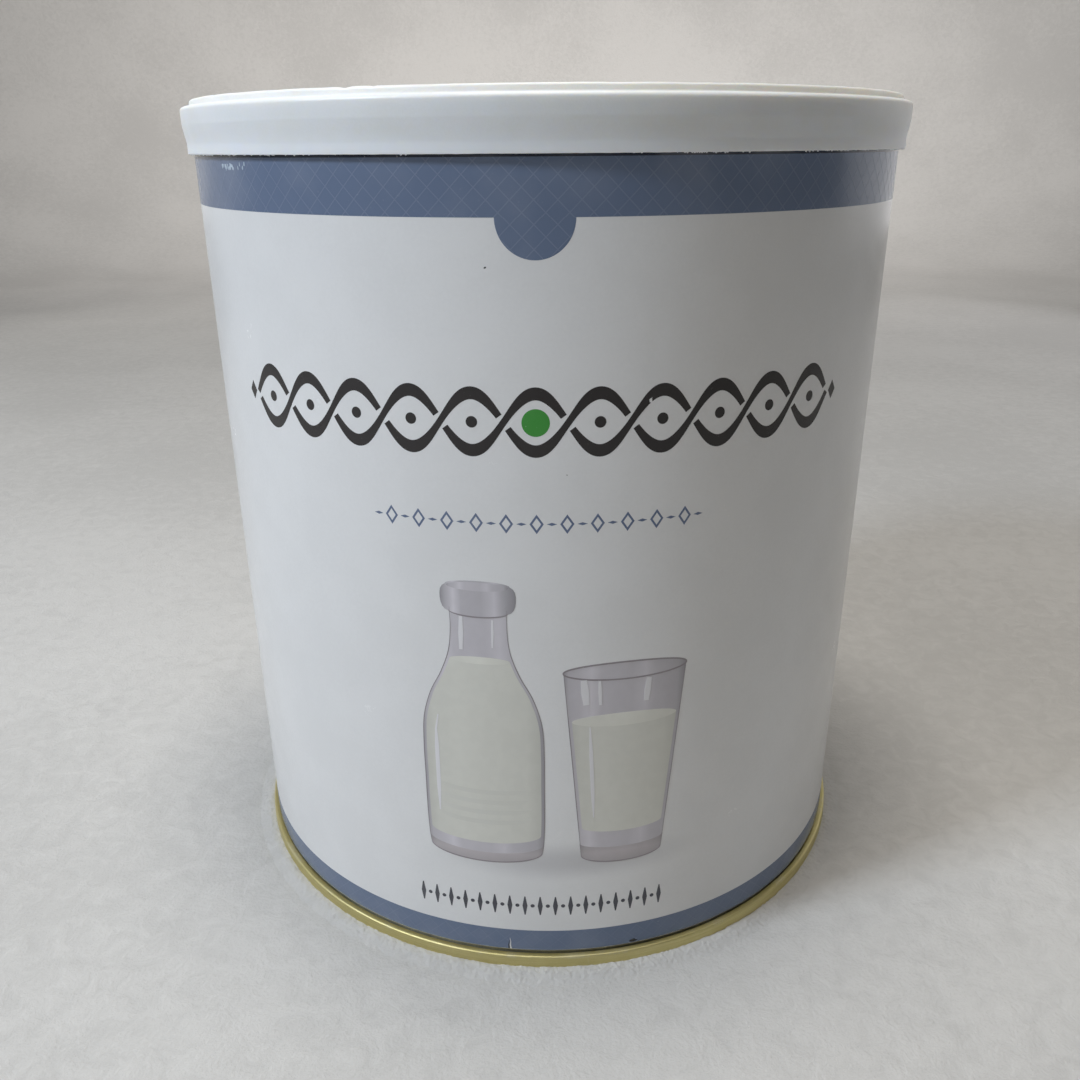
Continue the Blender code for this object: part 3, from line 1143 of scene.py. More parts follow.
class TIN_OT_lattice(TinCommand):
    """Print the fine diamond lattice on both bands and in the tab"""

    bl_idname = "tin.lattice"
    bl_label = "Lattice"

    def lines(self, name, foot, top):
        """Two crossing lines as a motif, repeated along the sheet and cut off at its ends."""
        label = bpy.context.scene.tin_label
        rows = max(3, math.ceil((top - foot) / FILM_STEP))
        half = label.lattice_line / math.sqrt(2)
        height = top - foot
        bm = bmesh.new()
        for slope, lift in ((1, LATTICE_LIFT), (-1, LATTICE_LIFT + 0.000003)):
            rings = []
            for row in range(rows + 1):
                up = height * row / rows
                middle = slope * (up - height / 2)
                corners = ((-half, -lift), (half, -lift), (half, FILM_SINK), (-half, FILM_SINK))
                rings.append([bm.verts.new((middle + aside, out, foot + up)) for aside, out in corners])
            for lower, upper in zip(rings, rings[1:]):
                for side in range(4):
                    after = (side + 1) % 4
                    bm.faces.new((lower[side], lower[after], upper[after], upper[side]))
            bm.faces.new(rings[0][::-1])
            bm.faces.new(rings[-1])
        bmesh.ops.recalc_face_normals(bm, faces=bm.faces)
        obj = new_object(name, mesh_from(bm, name))
        start, end = sheet_ends(label)
        count = 2 * math.ceil((end + height) / label.lattice_pitch) + 1
        repeat(obj, count, label.lattice_pitch, None)
        trim(obj, start + 0.00002, end - 0.00002)
        return obj

    def tab_lines(self):
        """The lattice's lines cut to the half disc of the tab."""
        label = bpy.context.scene.tin_label
        radius = label.tab_radius - 0.0001
        middle_up = (label.band_low + label.top) / 2
        quads = []
        for slope in (1, -1):
            ahead = Vector((1, slope)).normalized()
            for index in range(-8, 9):
                across = index * label.lattice_pitch - label.tab_place
                crossing = Vector((across, middle_up - label.band_low))
                near = crossing - ahead * crossing.dot(ahead)
                if near.length >= radius:
                    continue
                reach = math.sqrt(radius ** 2 - near.length ** 2)
                ends = [near - ahead * reach, near + ahead * reach]
                ends.sort(key=lambda spot: spot.y)
                low, high = ends
                if low.y >= 0:
                    continue
                if high.y > 0:
                    high = low + (high - low) * (-low.y / (high.y - low.y))
                corner = Vector((label.tab_place, label.band_low))
                points = [low.lerp(high, step / 6) + corner for step in range(7)]
                quads.append(stroke(points, [label.lattice_line] * 7))
        return quads

    def execute(self, context):
        label = context.scene.tin_label
        pale = ink_finish("pale_slate_ink", label.line_colour, fade=0.05, pinholes=0.03)
        wrap(self.lines("upper_lattice", label.band_low, label.top - 0.0002), pale)
        pairs = zip(label.band_colour, label.line_colour)
        faint_colour = [0.55 * band + 0.45 * line for band, line in pairs]
        faint = ink_finish("faint_slate_ink", faint_colour, fade=0.05, pinholes=0.03)
        wrap(self.lines("foot_lattice", label.foot + 0.0004, label.foot_band - 0.00005), faint)
        bm = bmesh.new()
        for index, quads in enumerate(self.tab_lines()):
            piece = film("tab_line", quads, LATTICE_LIFT + 0.000003 * (index % 2), step=None, rise=None)
            bm.from_mesh(piece.data)
            spare = piece.data
            bpy.data.objects.remove(piece)
            bpy.data.meshes.remove(spare)
        wrap(new_object("tab_lattice", mesh_from(bm, "tab_lattice")), pale)
        return {"FINISHED"}


class TIN_OT_ornament(TinCommand):
    """Print the plait of eyes, its beads and the green disc in the middle"""

    bl_idname = "tin.ornament"
    bl_label = "Ornament"

    # The gap where one strand passes under the other
    CLEAR = 0.000775

    def eye(self):
        """One eye of the plait: the strand that rises passes over, the one that falls under."""
        sizes = bpy.context.scene.tin_print
        wide = sizes.eye_width
        strands = []
        steps = 26
        for side, start, end in ((1, 0.0, wide - self.CLEAR), (-1, self.CLEAR, wide)):
            places = [start + (end - start) * step / steps for step in range(steps + 1)]
            points, widths = [], []
            for place in places:
                turn = math.pi * place / wide
                swing = side * sizes.eye_rise * math.sin(turn)
                points.append((place - wide / 2, swing + sizes.ornament_height))
                crest = math.sin(turn) ** 2
                widths.append(sizes.strand_thin + (sizes.strand_thick - sizes.strand_thin) * crest)
            strands.append(stroke(points, widths))
        return strands

    def execute(self, context):
        sizes = context.scene.tin_print
        black = ink_finish("near_black_ink", sizes.ornament_colour, fade=0.006, pinholes=0.02)
        middle = sizes.eyes // 2
        for name, quads in zip(("plait_upper", "plait_lower"), self.eye()):
            strand = film(name, quads, INK_LIFT, step=None, rise=None)
            repeat(strand, sizes.eyes, sizes.eye_width, black)
            wrap(strand, black)
        bead = [disc(0.0, sizes.ornament_height, 0.00105)]
        print_row("plait_beads", bead, sizes.eyes, sizes.eye_width, black, left_out=middle)
        reach = sizes.eyes * sizes.eye_width / 2 + 0.0022
        ends = [lozenge(side * reach, sizes.ornament_height, 0.0013, 0.0019) for side in (-1, 1)]
        wrap(film("plait_ends", ends, INK_LIFT), black)
        green = ink_finish("green_ink", sizes.accent_colour, fade=0.02)
        wrap(film("green_disc", [disc(0.0, sizes.ornament_height, 0.0025, sides=48)], INK_LIFT), green)
        return {"FINISHED"}


class TIN_OT_rule(TinCommand):
    """Print the row of open lozenges and dashes under the plait"""

    bl_idname = "tin.rule"
    bl_label = "Rule"

    COUNT = 11
    PITCH = 0.0056

    def execute(self, context):
        sizes = context.scene.tin_print
        blue = ink_finish("grey_blue_ink", sizes.rule_colour, fade=0.04)
        up = sizes.rule_height
        outer = lozenge(0.0, up, 0.0013, 0.0019)
        inner = lozenge(0.0, up, 0.00082, 0.0012)
        ring = [
            [outer[side], outer[(side + 1) % 4], inner[(side + 1) % 4], inner[side]] for side in range(4)
        ]
        print_row("rule_lozenges", ring, self.COUNT, self.PITCH, blue)
        dash = [lozenge(0.0, up, 0.00095, 0.0003)]
        print_row("rule_dashes", dash, self.COUNT + 1, self.PITCH, blue)
        return {"FINISHED"}


class TIN_OT_footer(TinCommand):
    """Print the row of short bars and dots over the foot band"""

    bl_idname = "tin.footer"
    bl_label = "Footer row"

    COUNT = 17
    PITCH = 0.0033
    HALF_BAR = 0.0025

    def execute(self, context):
        sizes = context.scene.tin_print
        grey = ink_finish("dark_grey_ink", sizes.footer_colour, fade=0.03)
        up = sizes.footer_height
        bar = stroke(
            [(0.0, up - self.HALF_BAR), (0.0, up), (0.0, up + self.HALF_BAR)], [0.00025, 0.0011, 0.00025]
        )
        print_row("footer_bars", bar, self.COUNT, self.PITCH, grey)
        dot = [disc(0.0, up, 0.00046, sides=16)]
        print_row("footer_dots", dot, self.COUNT - 1, self.PITCH, grey)
        return {"FINISHED"}


class TIN_OT_picture(TinCommand):
    """Print the picture of a bottle and a glass of milk"""

    bl_idname = "tin.picture"
    bl_label = "Picture"

    BOTTLE = -0.0115
    GLASS = 0.0175

    # How finely the picture's films are cut along the tin's height
    RISE = 0.003

    # Half widths and heights of the bottle's side and of its lip, in millimetres
    BOTTLE_SIDE = (
        (12.2, 31.2), (12.5, 34), (12.7, 40), (12.7, 48), (12.7, 56), (12.3, 62.5), (10.6, 68.5),
        (8.1, 73.5), (6.3, 78.5), (5.7, 83.5), (5.75, 88.0),
    )
    BOTTLE_LIP = (
        (5.8, 87.1), (6.5, 87.4), (7.0, 88.0), (7.3, 88.8), (7.45, 89.8), (7.45, 90.8), (7.3, 91.7),
        (6.9, 92.4), (6.3, 92.8),
    )

    # Glints as points aside and up in millimetres, their width, and the share of it that their ends keep
    BOTTLE_GLINTS = (
        (((-3.6, 79.0), (-3.5, 82.5), (-3.4, 86.2)), 1.0, 0.7),
        (((2.7, 79.8), (2.8, 83.0), (2.8, 85.8)), 0.5, 0.7),
        (tuple((-9.7, up) for up in range(40, 62, 2)) + ((-9.1, 63.5),), 0.9, 0.3),
    )
    GLASS_GLINTS = (
        (((-8.0, 67.2), (-8.3, 70.0), (-8.6, 72.8)), 1.6, 0.75),
        (((-5.2, 67.0), (-5.3, 69.8), (-5.4, 72.4)), 0.7, 0.75),
        (((4.2, 67.0), (4.4, 69.5), (4.7, 72.2)), 1.3, 0.75),
        (tuple((-6.2 - 0.1 * step, 40 + 2.2 * step) for step in range(11)), 0.8, 0.3),
    )

    # Tones across each printed part: how far across, and how light against the part's own colour
    TONES = {
        "glass": (
            (0.0, 0.62), (0.04, 0.9), (0.13, 1.0), (0.22, 1.18), (0.3, 1.0), (0.55, 0.97), (0.66, 1.1),
            (0.74, 0.95), (0.93, 0.84), (1.0, 0.55),
        ),
        "milk": ((0.0, 0.84), (0.08, 0.96), (0.3, 1.02), (0.6, 1.0), (0.88, 0.97), (1.0, 0.85)),
        "milk_top": ((0.0, 1.02), (0.5, 1.13), (1.0, 1.0)),
        "glass_base": (
            (0.0, 0.55), (0.06, 0.9), (0.2, 1.08), (0.5, 1.14), (0.8, 1.0), (0.95, 0.8), (1.0, 0.5),
        ),
        "glass_lip": (
            (0.0, 0.55), (0.07, 0.85), (0.18, 1.2), (0.28, 0.9), (0.55, 0.86), (0.72, 1.1), (0.82, 0.82),
            (1.0, 0.5),
        ),
    }
    TONES_UP = {"glass_base": ((0.0, 0.85), (0.5, 1.25), (1.0, 0.9))}

    def tones(self, sizes):
        """The picture's finishes, by what each of them prints."""
        glass, milk, base = sizes.glass_colour, sizes.milk_colour, sizes.base_colour
        own = {"glass": glass, "milk": milk, "milk_top": milk, "glass_base": base, "glass_lip": glass}
        made = {}
        for part, table in self.TONES.items():
            across, up = (
                [(place, tint(own[part], share)) for place, share in stops]
                for stops in (table, self.TONES_UP.get(part, ()))
            )
            made[part] = toned_finish("printed_" + part, across, up)
        made["line"] = ink_finish("printed_dark_line", (0.29, 0.26, 0.275), fade=0.1)
        made["glint"] = ink_finish("printed_glint", (0.77, 0.76, 0.78), fade=0.02)
        made["ridge"] = ink_finish("printed_ridge", tint(milk, 0.945)[:3], fade=0.1)
        made["shadow"] = shadow_finish()
        return made

    def vessel(self, centre, side, base_rise, top_rise):
        """An outline from a side line: up the right, over the top, down the left, round the base."""
        right = [(centre + wide, up) for wide, up in side]
        left = [(centre - wide, up) for wide, up in reversed(side)]
        wide_top, high = side[-1]
        wide_base, low = side[0]
        top = arc(centre, wide_top, high, top_rise, start=0.0, end=math.pi)[1:-1]
        base = arc(centre, wide_base, low, -base_rise)[1:-1]
        return right + top + left + base

    def lay(self, name, shapes, layer, finish):
        wrap(film(name, shapes, INK_LIFT + LAYER * layer, rise=self.RISE), finish)

    def line(self, points, width, tail=0.25):
        """A drawn line that thins towards both ends."""
        count = len(points)
        widths = []
        for index in range(count):
            near_end = min(index, count - 1 - index) / max(1, count * 0.25)
            widths.append(width * min(1.0, tail + (1 - tail) * near_end))
        return stroke(points, widths)

    def pour(self, vessel, centre, wall, base_rise, top_rise, tones, sides):
        """Milk up to its level, and its surface seen from a little above."""
        self.lay(vessel + "_milk", [self.vessel(centre, wall, base_rise, top_rise)], 2, tones["milk"])
        wide, high = wall[-1]
        surface = ellipse(centre, high, wide, top_rise, sides)
        self.lay(vessel + "_milk_top", [surface], 3, tones["milk_top"])

    def draw_edges(self, vessel, centre, side, tones):
        for name, sign in (("_edge_left", -1), ("_edge_right", 1)):
            edge = [(centre + sign * (wide - 0.0001), up) for wide, up in side]
            self.lay(vessel + name, self.line(edge, 0.00016), 4, tones["line"])

    def draw_glints(self, vessel, centre, table, tones):
        quads = []
        for points, width, tail in table:
            placed = [(centre + aside * MM, up * MM) for aside, up in points]
            quads.extend(self.line(placed, width * MM, tail))
        self.lay(vessel + "_glints", quads, 5, tones["glint"])

    def draw_bottle(self, tones):
        centre = self.BOTTLE
        side, inside = (
            curve_through([((wide - inset) * MM, up * MM) for wide, up in self.BOTTLE_SIDE], steps=6)
            for inset in (0.0, 0.75)
        )
        self.lay("bottle_glass", [self.vessel(centre, side, 0.0030, 0.0009)], 1, tones["glass"])
        wall = [(wide, up) for wide, up in inside if 0.0350 < up < 0.0775]
        self.pour("bottle", centre, wall, 0.0025, 0.0008, tones, sides=36)
        low_side = [(wide - 0.0001, up) for wide, up in side if up < 0.0340]
        base_low = arc(centre, low_side[0][0], low_side[0][1], -0.0030)
        base_top = arc(centre, low_side[-1][0], low_side[-1][1], -0.0027)
        right_corner = [(centre + wide, up) for wide, up in low_side[1:-1]]
        left_corner = [(centre - wide, up) for wide, up in low_side[1:-1]]
        base = base_low + right_corner + base_top[::-1] + left_corner[::-1]
        self.lay("bottle_base", [base], 3, tones["glass_base"])
        lip = [(wide * MM, up * MM) for wide, up in self.BOTTLE_LIP]
        self.lay("bottle_lip", [self.vessel(centre, lip, 0.0011, 0.0010)], 2, tones["glass_lip"])
        self.lay("bottle_mouth", [ellipse(centre, 0.0926, 0.0060, 0.0009)], 3, tones["glass"])
        self.draw_edges("bottle", centre, side, tones)
        ring = arc(centre, 0.0058, 0.0873, -0.0011)
        self.lay("bottle_neck_ring", self.line(ring, 0.0003), 4, tones["line"])
        foot_line = arc(centre, 0.0120, 0.0312, -0.0029)
        self.lay("bottle_foot_line", self.line(foot_line, 0.00032), 4, tones["line"])
        self.draw_glints("bottle", centre, self.BOTTLE_GLINTS, tones)

    def draw_glass(self, tones):
        centre = self.GLASS
        side = [(0.0088 + 0.0038 * step / 12, 0.0302 + 0.0442 * step / 12) for step in range(13)]
        self.lay("glass_wall", [self.vessel(centre, side, 0.0021, 0.0019)], 1, tones["glass"])
        wall = [(wide - 0.0008, up) for wide, up in side if 0.034 < up < 0.066]
        self.pour("glass", centre, wall, 0.0016, 0.0015, tones, sides=40)
        base_top = arc(centre, 0.0091, 0.0335, -0.0016)
        base_low = arc(centre, 0.0088, 0.0302, -0.0021)
        self.lay("glass_base", [base_low + base_top[::-1]], 3, tones["glass_base"])
        rim = ellipse(centre, 0.0744, 0.0126, 0.0019, sides=64)
        rim.append(rim[0])
        self.lay("glass_rim", stroke(rim, [0.00032] * len(rim)), 4, tones["line"])
        self.draw_edges("glass", centre, side, tones)
        foot_line = arc(centre, 0.0086, 0.0302, -0.0021)
        self.lay("glass_foot_line", self.line(foot_line, 0.0003), 4, tones["line"])
        self.draw_glints("glass", centre, self.GLASS_GLINTS, tones)

    def execute(self, context):
        tones = self.tones(context.scene.tin_print)
        shape = ellipse(0.0065, 0.0288, 0.0345, 0.0060, sides=64)
        self.lay("picture_shadow", [shape], 0, tones["shadow"])
        self.draw_bottle(tones)
        self.draw_glass(tones)
        ridges = []
        for up in (0.0400, 0.0425, 0.0450, 0.0475):
            ridges.extend(self.line(arc(self.BOTTLE, 0.0098, up, -0.0015), 0.0011))
        self.lay("bottle_ridges", ridges, 3.5, tones["ridge"])
        return {"FINISHED"}


class TIN_OT_wear(TinCommand):
    """Add the scuffs, specks, the small tear and the chip that the label shows, with painted shade in the
    tear and the chip, and a painted shadow under the lid's lip
    """

    bl_idname = "tin.wear"
    bl_label = "Wear marks"

    # Places of the larger scuffs on the band, and of the specks with their half widths and heights
    SCUFFS = ((-0.0600, 0.1668), (-0.0590, 0.1662), (-0.0583, 0.1668), (-0.0607, 0.1662))
    SPECKS = ((-0.0082, 0.1509, 0.00028, 0.0002), (0.0055, 0.1150, 0.00014, 0.00012))

    # The tear at the foot, and beside it the painted shadow of its lifted edge, as points and widths
    TEAR = (
        ((-0.00655, 0.0047), (-0.0067, 0.0056), (-0.0066, 0.0066), (-0.00675, 0.0077)),
        (0.00042, 0.0003, 0.0002, 0.00006),
    )
    TEAR_SHADOW = (((-0.0070, 0.0047), (-0.00705, 0.0058), (-0.0069, 0.0070)), (0.0003, 0.0002, 0.00006))

    # The chip at the foot, painted near black as the shade in the gap where paper is missing: place, half
    # width and half height
    CHIP = (0.0209, 0.0052, 0.0011, 0.0007)

    # How far the painted shadow under the lid's lip reaches down the band, and how far it goes on behind the
    # lip
    SHADE_BELOW = 0.00042
    SHADE_ABOVE = 0.0006

    def flake(self, lot, across, up, half_width, half_height, sides=9):
        """A small ragged patch."""
        shape = []
        for index in range(sides):
            turn = math.tau * index / sides
            reach = lot.uniform(0.45, 1.0)
            aside, above = half_width * reach * math.cos(turn), half_height * reach * math.sin(turn)
            shape.append((across + aside, up + above))
        return shape

    def mark(self, name, shapes, layer, ink):
        wrap(film(name, shapes, layer, step=None, rise=None), ink)

    def execute(self, context):
        lot = random.Random(5)
        scuffs = []
        for index in range(17):
            across = -0.0672 + 0.0048 * index / 16 + lot.uniform(-0.0002, 0.0002)
            up = 0.16635 + lot.uniform(-0.0004, 0.0004)
            half_width = lot.uniform(0.00016, 0.0004)
            scuffs.append(self.flake(lot, across, up, half_width, lot.uniform(0.0003, 0.00065)))
        scuffs.extend(self.flake(lot, across, up, 0.00022, 0.0005) for across, up in self.SCUFFS)
        pale = ink_finish("rubbed_slate_ink", (0.47, 0.56, 0.66), fade=0.1)
        self.mark("band_scuffs", scuffs, LATTICE_LIFT + LAYER, pale)
        specks = [self.flake(lot, *speck) for speck in self.SPECKS]
        dark = ink_finish("dark_speck", (0.05, 0.05, 0.055), fade=0.1)
        self.mark("dark_specks", specks, INK_LIFT, dark)
        raw = ink_finish("raw_paper_edge", (0.70, 0.70, 0.69), fade=0.02)
        self.mark("torn_edge", stroke(*self.TEAR), LATTICE_LIFT + 2 * LAYER, raw)
        # The slit and the chip are printed near black: painted shade under the tear's lifted edge and in the
        # chip's gap.
        chip_shadows = stroke(*self.TEAR_SHADOW) + [self.flake(lot, *self.CHIP)]
        black = ink_finish("chip_shadow_ink", (0.012, 0.011, 0.012), fade=0.02, pinholes=0.0)
        self.mark("foot_chip_shadows", chip_shadows, LATTICE_LIFT + LAYER, black)
        start, end = sheet_ends(context.scene.tin_label)
        # Painted shadow: a dark strip on the band just under the lid's lip, where the lip shades the label.
        low, high = LID_LOW.z - self.SHADE_BELOW, LID_LOW.z + self.SHADE_ABOVE
        lip_shadow_strip = [(start, low), (end, low), (end, high), (start, high)]
        rub_and_shade = ink_finish("painted_lip_shadow_ink", (0.030, 0.036, 0.055), fade=0.12)
        wrap(film("lid_lip_shadow", [lip_shadow_strip], LATTICE_LIFT + LAYER), rub_and_shade)
        return {"FINISHED"}


class TIN_OT_lid(TinCommand):
    """Make the plastic lid with its stacking ring, skirt and sunk panel"""

    bl_idname = "tin.lid"
    bl_label = "Lid"

    SHOULDER = 0.0089
    STACK_RADIUS = 0.0771
    STACK_WIDTH = 0.00135
    PANEL = 0.0068
    STRAIGHT = 0.0055
    TAPER = 0.00055
    LIP = 0.002
    BEAD = (0.0587, 0.0633)
    BEAD_HEIGHT = 0.0006
    BEAD_SLOPE = 0.0012

    # The gate mark in the middle of the panel: its two radii, its ditch and its height
    GATE = (0.0022, 0.0042)
    GATE_DITCH = 0.0001
    GATE_HEIGHT = 0.00025

    # Angle round the tin, half width and share of the full depth of the nicks in the ring
    NICKS = (
        (math.radians(-23.6), 0.0010, 0.55), (math.radians(-19.6), 0.0005, 0.4),
        (math.radians(-51.0), 0.0005, 0.5), (math.radians(-75.0), 0.0012, 1.0),
    )

    def outline(self):
        lid = bpy.context.scene.tin_lid
        foot = LID_LOW.z
        wall = lid.wall
        radius = lid.radius - 0.00006
        lip = radius - self.TAPER
        ring_in = self.STACK_RADIUS - self.STACK_WIDTH
        panel = foot + self.PANEL
        top = foot + lid.height
        shoulder = foot + self.SHOULDER
        bead_in, bead_out = self.BEAD
        gate_in, gate_out = self.GATE
        return [
            (0, panel - self.GATE_DITCH, 0),
            (gate_in - 0.0001, panel - self.GATE_DITCH, 0),
            (gate_in + 0.0002, panel + self.GATE_HEIGHT, 0.0001),
            (gate_out - 0.0002, panel + self.GATE_HEIGHT, 0.0001),
            (gate_out + 0.0002, panel, 0.0003),
            (bead_in - self.BEAD_SLOPE, panel, 0.0008),
            (bead_in, panel + self.BEAD_HEIGHT, 0.0008),
            (bead_out, panel + self.BEAD_HEIGHT, 0.0008),
            (bead_out + self.BEAD_SLOPE, panel, 0.0008),
            (ring_in, panel, 0.0008),
            (ring_in, top, 0.00042),
            (self.STACK_RADIUS, top, 0.00048),
            (self.STACK_RADIUS + 0.00005, shoulder, 0.0004),
            (radius, shoulder, 0.00075),
            (radius, foot + self.STRAIGHT, 0.004),
            (lip, foot + self.LIP, 0.004),
            (lip + 0.00006, foot, 0.00012),
            (lip - wall, foot, 0.0002),
            (lip - wall, foot + self.LIP, 0),
            (radius - wall, foot + self.STRAIGHT, 0),
            (radius - wall, shoulder - wall, 0.0003),
            (ring_in + wall, shoulder - wall, 0.0002),
            (ring_in + wall, panel - wall, 0.0002),
            (0, panel - wall, 0),
        ]

    def execute(self, context):
        lid = context.scene.tin_lid
        foot = LID_LOW.z
        shoulder = foot + self.SHOULDER
        ring_from, skirt_from = self.STACK_RADIUS - 0.002, self.STACK_RADIUS + 0.0006
        ragged_height = 0.0012

        def worked(spot, radius, angle):
            """The skirt swells and sinks, the lip is ragged, and the ring is nicked."""
            ring = Vector((math.sin(angle), math.cos(angle), 0.0))
            if radius > ring_from and spot.z > shoulder + 0.0004:
                for place, wide, share in self.NICKS:
                    aside = (angle - place + math.pi) % math.tau - math.pi
                    reach = aside * radius / wide
                    depth = math.exp(-reach * reach) * (0.7 + 0.3 * noise.noise(ring * 800))
                    spot.z -= lid.nick * share * depth * min(1.0, (spot.z - shoulder) / 0.0014)
                spot.z += 0.00005 * noise.noise(ring * 14) - 0.00005
            if radius > skirt_from:
                up = Vector((0, 0, spot.z * 20))
                swell = noise.noise(ring * 2.2 + up) * 0.7 + noise.noise(ring * 7.0 + up) * 0.3
                low = min(1.0, max(0.0, (shoulder - spot.z) / 0.006))
                out = (swell - 0.45) * lid.wave * (0.3 + low)
                if spot.z < foot + ragged_height:
                    share = 1 - (spot.z - foot) / ragged_height
                    ragged = noise.noise(ring * 46) * 0.5 + noise.noise(ring * 150) * 0.3
                    spot.z += share * 0.00008 * (ragged + 0.4)
                grow = 1 + out / radius
                return Vector((spot.x * grow, spot.y * grow, spot.z))
            return spot

        obj = turned("lid_shell", self.outline(), lid_finish(), longest=0.0016, shape=worked)
        hand_over(obj, "lid_plastic", "lid")
        return {"FINISHED"}


class TIN_OT_burrs(TinCommand):
    """Scatter the moulding burrs along the lid's lip"""

    bl_idname = "tin.burrs"
    bl_label = "Lip burrs"

    def execute(self, context):
        lid = context.scene.tin_lid
        bm = bmesh.new()
        bmesh.ops.create_icosphere(bm, subdivisions=1, radius=0.5)
        for vert in bm.verts:
            vert.co.x *= 1 + 0.3 * math.sin(vert.co.z * 9)
        obj = new_object("lip_burrs", mesh_from(bm, "lip_burrs"))
        values = {
            "Lip Radius": lid.radius - 0.0009, "Lip Height": LID_LOW.z + 0.00003, "Places": 1150,
            "Longest": lid.flash, "Seed": lid.seed, "Material": bpy.data.materials["moulded_plastic"],
        }
        add_tree(obj, "Lip Burrs", values)
        settle(obj)
        smooth(obj, math.radians(60))
        hand_over(obj, "lid_plastic")
        return {"FINISHED"}


class TIN_OT_stage(TinCommand):
    """Set up the pale floor, the soft lights and the camera"""

    bl_idname = "tin.stage"
    bl_label = "Stage"

    # Name, turn round the tin, elevation, distance, width, height, power and colour of each light
    LIGHTS = (
        ("key_window", -60, 39, 1.0, 0.18, 0.18, 5.6, (0.73, 0.85, 1.0)),
        ("key_side", -45, 30, 1.0, 0.5, 0.5, 1.3, (1.0, 0.92, 0.82)),
        ("overhead", 0, 88, 1.1, 0.4, 0.4, 8.0, (1.0, 0.965, 0.90)),
        ("left_back", -126, 22, 0.9, 0.9, 0.7, 0.8, (1.0, 0.98, 0.94)),
        ("right_back", 128, 18, 0.9, 0.9, 0.6, 1.1, (0.97, 0.97, 1.0)),
    )

    AIM_HEIGHT = 0.09

    # The light that washes the sweep behind the tin: place, aim, width, height, power and colour
    WASH = ((0.0, 0.7, 1.4), (0.0, 1.7, 0.25), 1.5, 0.3, 6.6, (1.0, 0.97, 0.945))

    def aim_camera(self, stage):
        aside, before = math.sin(stage.turn), -math.cos(stage.turn)
        spot = Vector((stage.distance * aside, stage.distance * before, stage.height))
        looks = Matrix.Rotation(stage.turn + stage.yaw, 4, "Z")
        looks = looks @ Matrix.Rotation(math.pi / 2 - stage.pitch, 4, "X")
        looks = looks @ Matrix.Rotation(stage.roll, 4, "Z")
        data = bpy.data.cameras.new("camera")
        data.lens = stage.lens
        data.sensor_width = 36.0
        data.clip_start = 0.01
        camera = new_object("camera", data)
        camera.matrix_world = Matrix.Translation(spot) @ looks
        bpy.context.scene.camera = camera

    def hang_light(self, name, place, aim, width, height, power, colour):
        data = bpy.data.lights.new(name, "AREA")
        data.shape = "RECTANGLE"
        data.size = width
        data.size_y = height
        data.energy = power
        data.color = colour
        light = new_object(name, data)
        look = (aim - place).to_track_quat("-Z", "Y").to_matrix().to_4x4()
        light.matrix_world = Matrix.Translation(place) @ look
        light.visible_camera = False
        return data

    def light_tin(self):
        """Soft lights that stand round the tin and look at its middle."""
        middle = Vector((0, 0, self.AIM_HEIGHT))
        for name, turn, elevation, distance, *rest in self.LIGHTS:
            around, above = math.radians(turn), math.radians(elevation)
            level = math.cos(above)
            toward = Vector((math.sin(around) * level, -math.cos(around) * level, math.sin(above)))
            self.hang_light(name, middle + toward * distance, middle, *rest)

    def light_backdrop(self):
        place, aim, *rest = self.WASH
        wash = self.hang_light("backdrop_wash", Vector(place), Vector(aim), *rest)
        wash.spread = math.radians(90)

    def between_rings(self, rows, steps, first=0):
        """Quads between rings of points, from the innermost ring out."""
        faces = []
        for row in range(rows):
            here, out = first + row * steps, first + (row + 1) * steps
            for step in range(steps):
                after = (step + 1) % steps
                faces.append((here + step, out + step, out + after, here + after))
        return faces

    def put_down(self, name, verts, faces, material):
        mesh = bpy.data.meshes.new(name)
        mesh.from_pydata(verts, [], faces)
        mesh.materials.append(material)
        mesh.shade_smooth()
        new_object(name, mesh)

    def lay_floor(self, stage):
        """A round floor that sweeps up into a low wall on every side."""
        bend, wall_top = 0.5, 1.3
        steps = 96
        profile = [(radius, 0.0) for radius in (0.12, 0.25, 0.5, 0.9, stage.dish)]
        for step in range(1, 13):
            turn = math.pi / 2 * step / 12
            profile.append((stage.dish + bend * math.sin(turn), bend - bend * math.cos(turn)))
        profile.append((stage.dish + bend, wall_top))
        verts = [(0.0, 0.0, 0.0)]
        for radius, height in profile:
            for step in range(steps):
                angle = math.tau * step / steps
                verts.append((radius * math.cos(angle), radius * math.sin(angle), height))
        faces = [(0, 1 + step, 1 + (step + 1) % steps) for step in range(steps)]
        faces.extend(self.between_rings(len(profile) - 1, steps, first=1))
        self.put_down("pale_floor", verts, faces, cloth_finish())

    def raise_pile(self):
        """The cloth's pile, which stands up a little round the tin's foot."""
        steps, rows = 1500, 24
        inner, outer, crest, spread = 0.0782, 0.0850, 0.0791, 0.0027
        tall, sunk = 0.00105, 0.0003
        verts = []
        for row in range(rows + 1):
            radius = inner + (outer - inner) * row / rows
            fall = math.exp(-(((radius - crest) / spread) ** 2))
            for step in range(steps):
                angle = math.tau * step / steps
                spot = Vector((radius * math.cos(angle), radius * math.sin(angle), 0.0))
                tuft = noise.noise(spot * 1500) * 0.0003 + noise.noise(spot * 420) * 0.0002
                spot.z = fall * tall + tuft * math.sqrt(fall) - sunk * row / rows
                verts.append(spot)
        faces = self.between_rings(rows, steps)
        self.put_down("cloth_pile", verts, faces, bpy.data.materials["pale_cloth"])

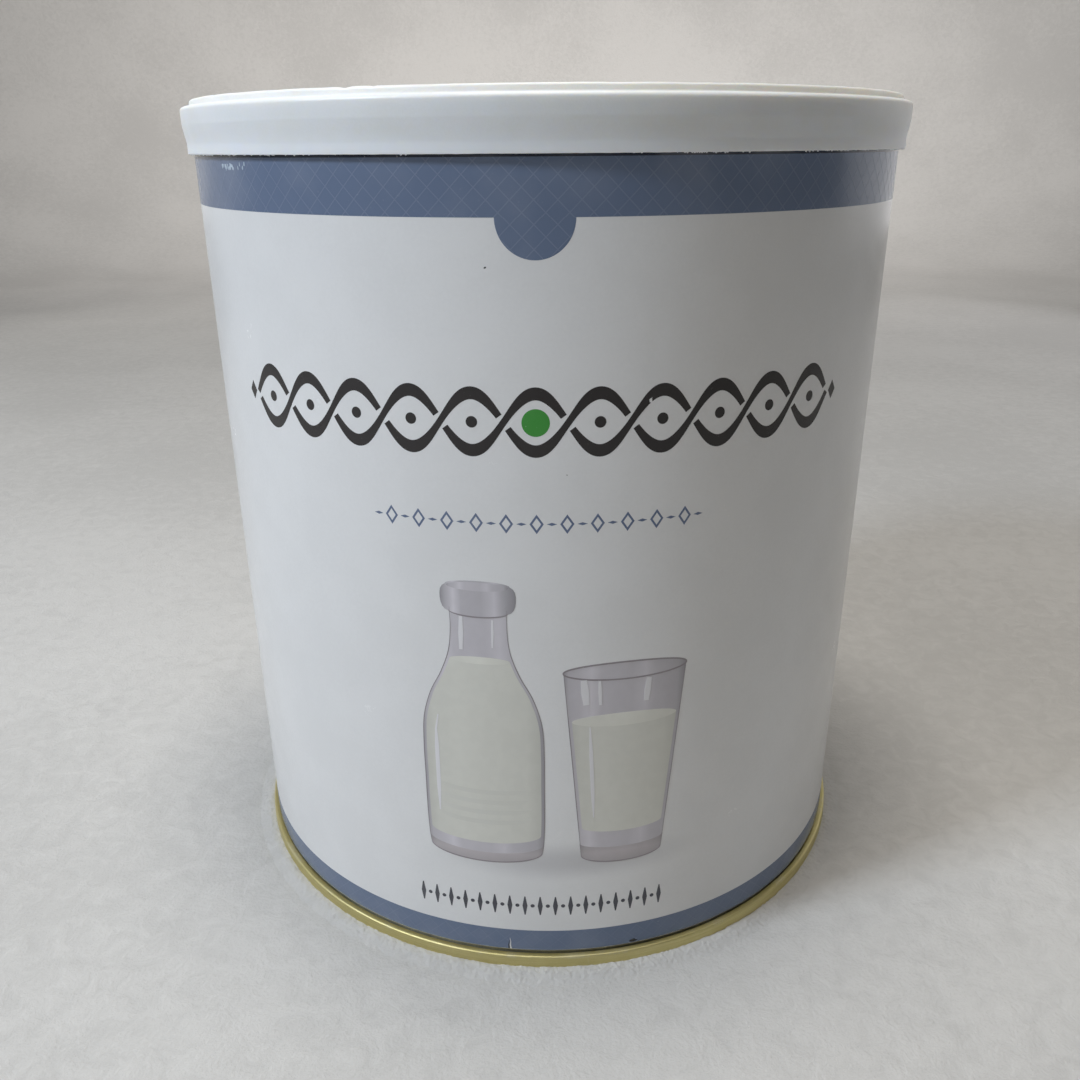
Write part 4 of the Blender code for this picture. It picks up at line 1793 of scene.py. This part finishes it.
    def execute(self, context):
        stage = context.scene.tin_stage
        self.lay_floor(stage)
        self.raise_pile()
        self.light_tin()
        self.light_backdrop()
        world = bpy.data.worlds.new("studio")
        world.use_nodes = True
        background = world.node_tree.nodes["Background"].inputs
        background["Color"].default_value = (1.0, 0.99, 0.97, 1.0)
        background["Strength"].default_value = 0.02
        context.scene.world = world
        context.scene.view_settings.view_transform = "Standard"
        self.aim_camera(stage)
        return {"FINISHED"}


OPERATORS = (
    TIN_OT_bottom_end, TIN_OT_can, TIN_OT_label, TIN_OT_bands, TIN_OT_lattice, TIN_OT_ornament,
    TIN_OT_rule, TIN_OT_picture, TIN_OT_footer, TIN_OT_wear, TIN_OT_lid, TIN_OT_burrs, TIN_OT_stage,
)


class TIN_PT_sidebar(Panel):
    """Lists the tin's operators in the sidebar"""

    bl_idname = "TIN_PT_sidebar"
    bl_label = "Milk powder tin"
    bl_space_type = "VIEW_3D"
    bl_region_type = "UI"
    bl_category = "Tin"

    def draw(self, context):
        for operator in OPERATORS:
            self.layout.operator(operator.bl_idname, text=operator.bl_label)


SIZE_GROUPS = {
    "tin_label": TinLabelSizes,
    "tin_print": TinPrintSizes,
    "tin_lid": TinLidSizes,
    "tin_can": TinCanSizes,
    "tin_stage": TinStageSizes,
}


def register():
    for name, sizes in SIZE_GROUPS.items():
        bpy.utils.register_class(sizes)
        setattr(bpy.types.Scene, name, PointerProperty(type=sizes))
    for operator in OPERATORS:
        bpy.utils.register_class(operator)
    bpy.utils.register_class(TIN_PT_sidebar)


def unregister():
    bpy.utils.unregister_class(TIN_PT_sidebar)
    for operator in reversed(OPERATORS):
        bpy.utils.unregister_class(operator)
    for name, sizes in SIZE_GROUPS.items():
        delattr(bpy.types.Scene, name)
        bpy.utils.unregister_class(sizes)


def main():
    register()
    build_shape_trees()
    build_shader_groups()
    bpy.ops.tin.bottom_end()
    bpy.ops.tin.can()
    bpy.ops.tin.label()
    bpy.ops.tin.bands()
    bpy.ops.tin.lattice()
    bpy.ops.tin.ornament()
    bpy.ops.tin.rule()
    bpy.ops.tin.picture()
    bpy.ops.tin.footer()
    bpy.ops.tin.wear()
    bpy.ops.tin.lid()
    bpy.ops.tin.burrs()
    bpy.ops.tin.stage()


if __name__ == "__main__":
    main()
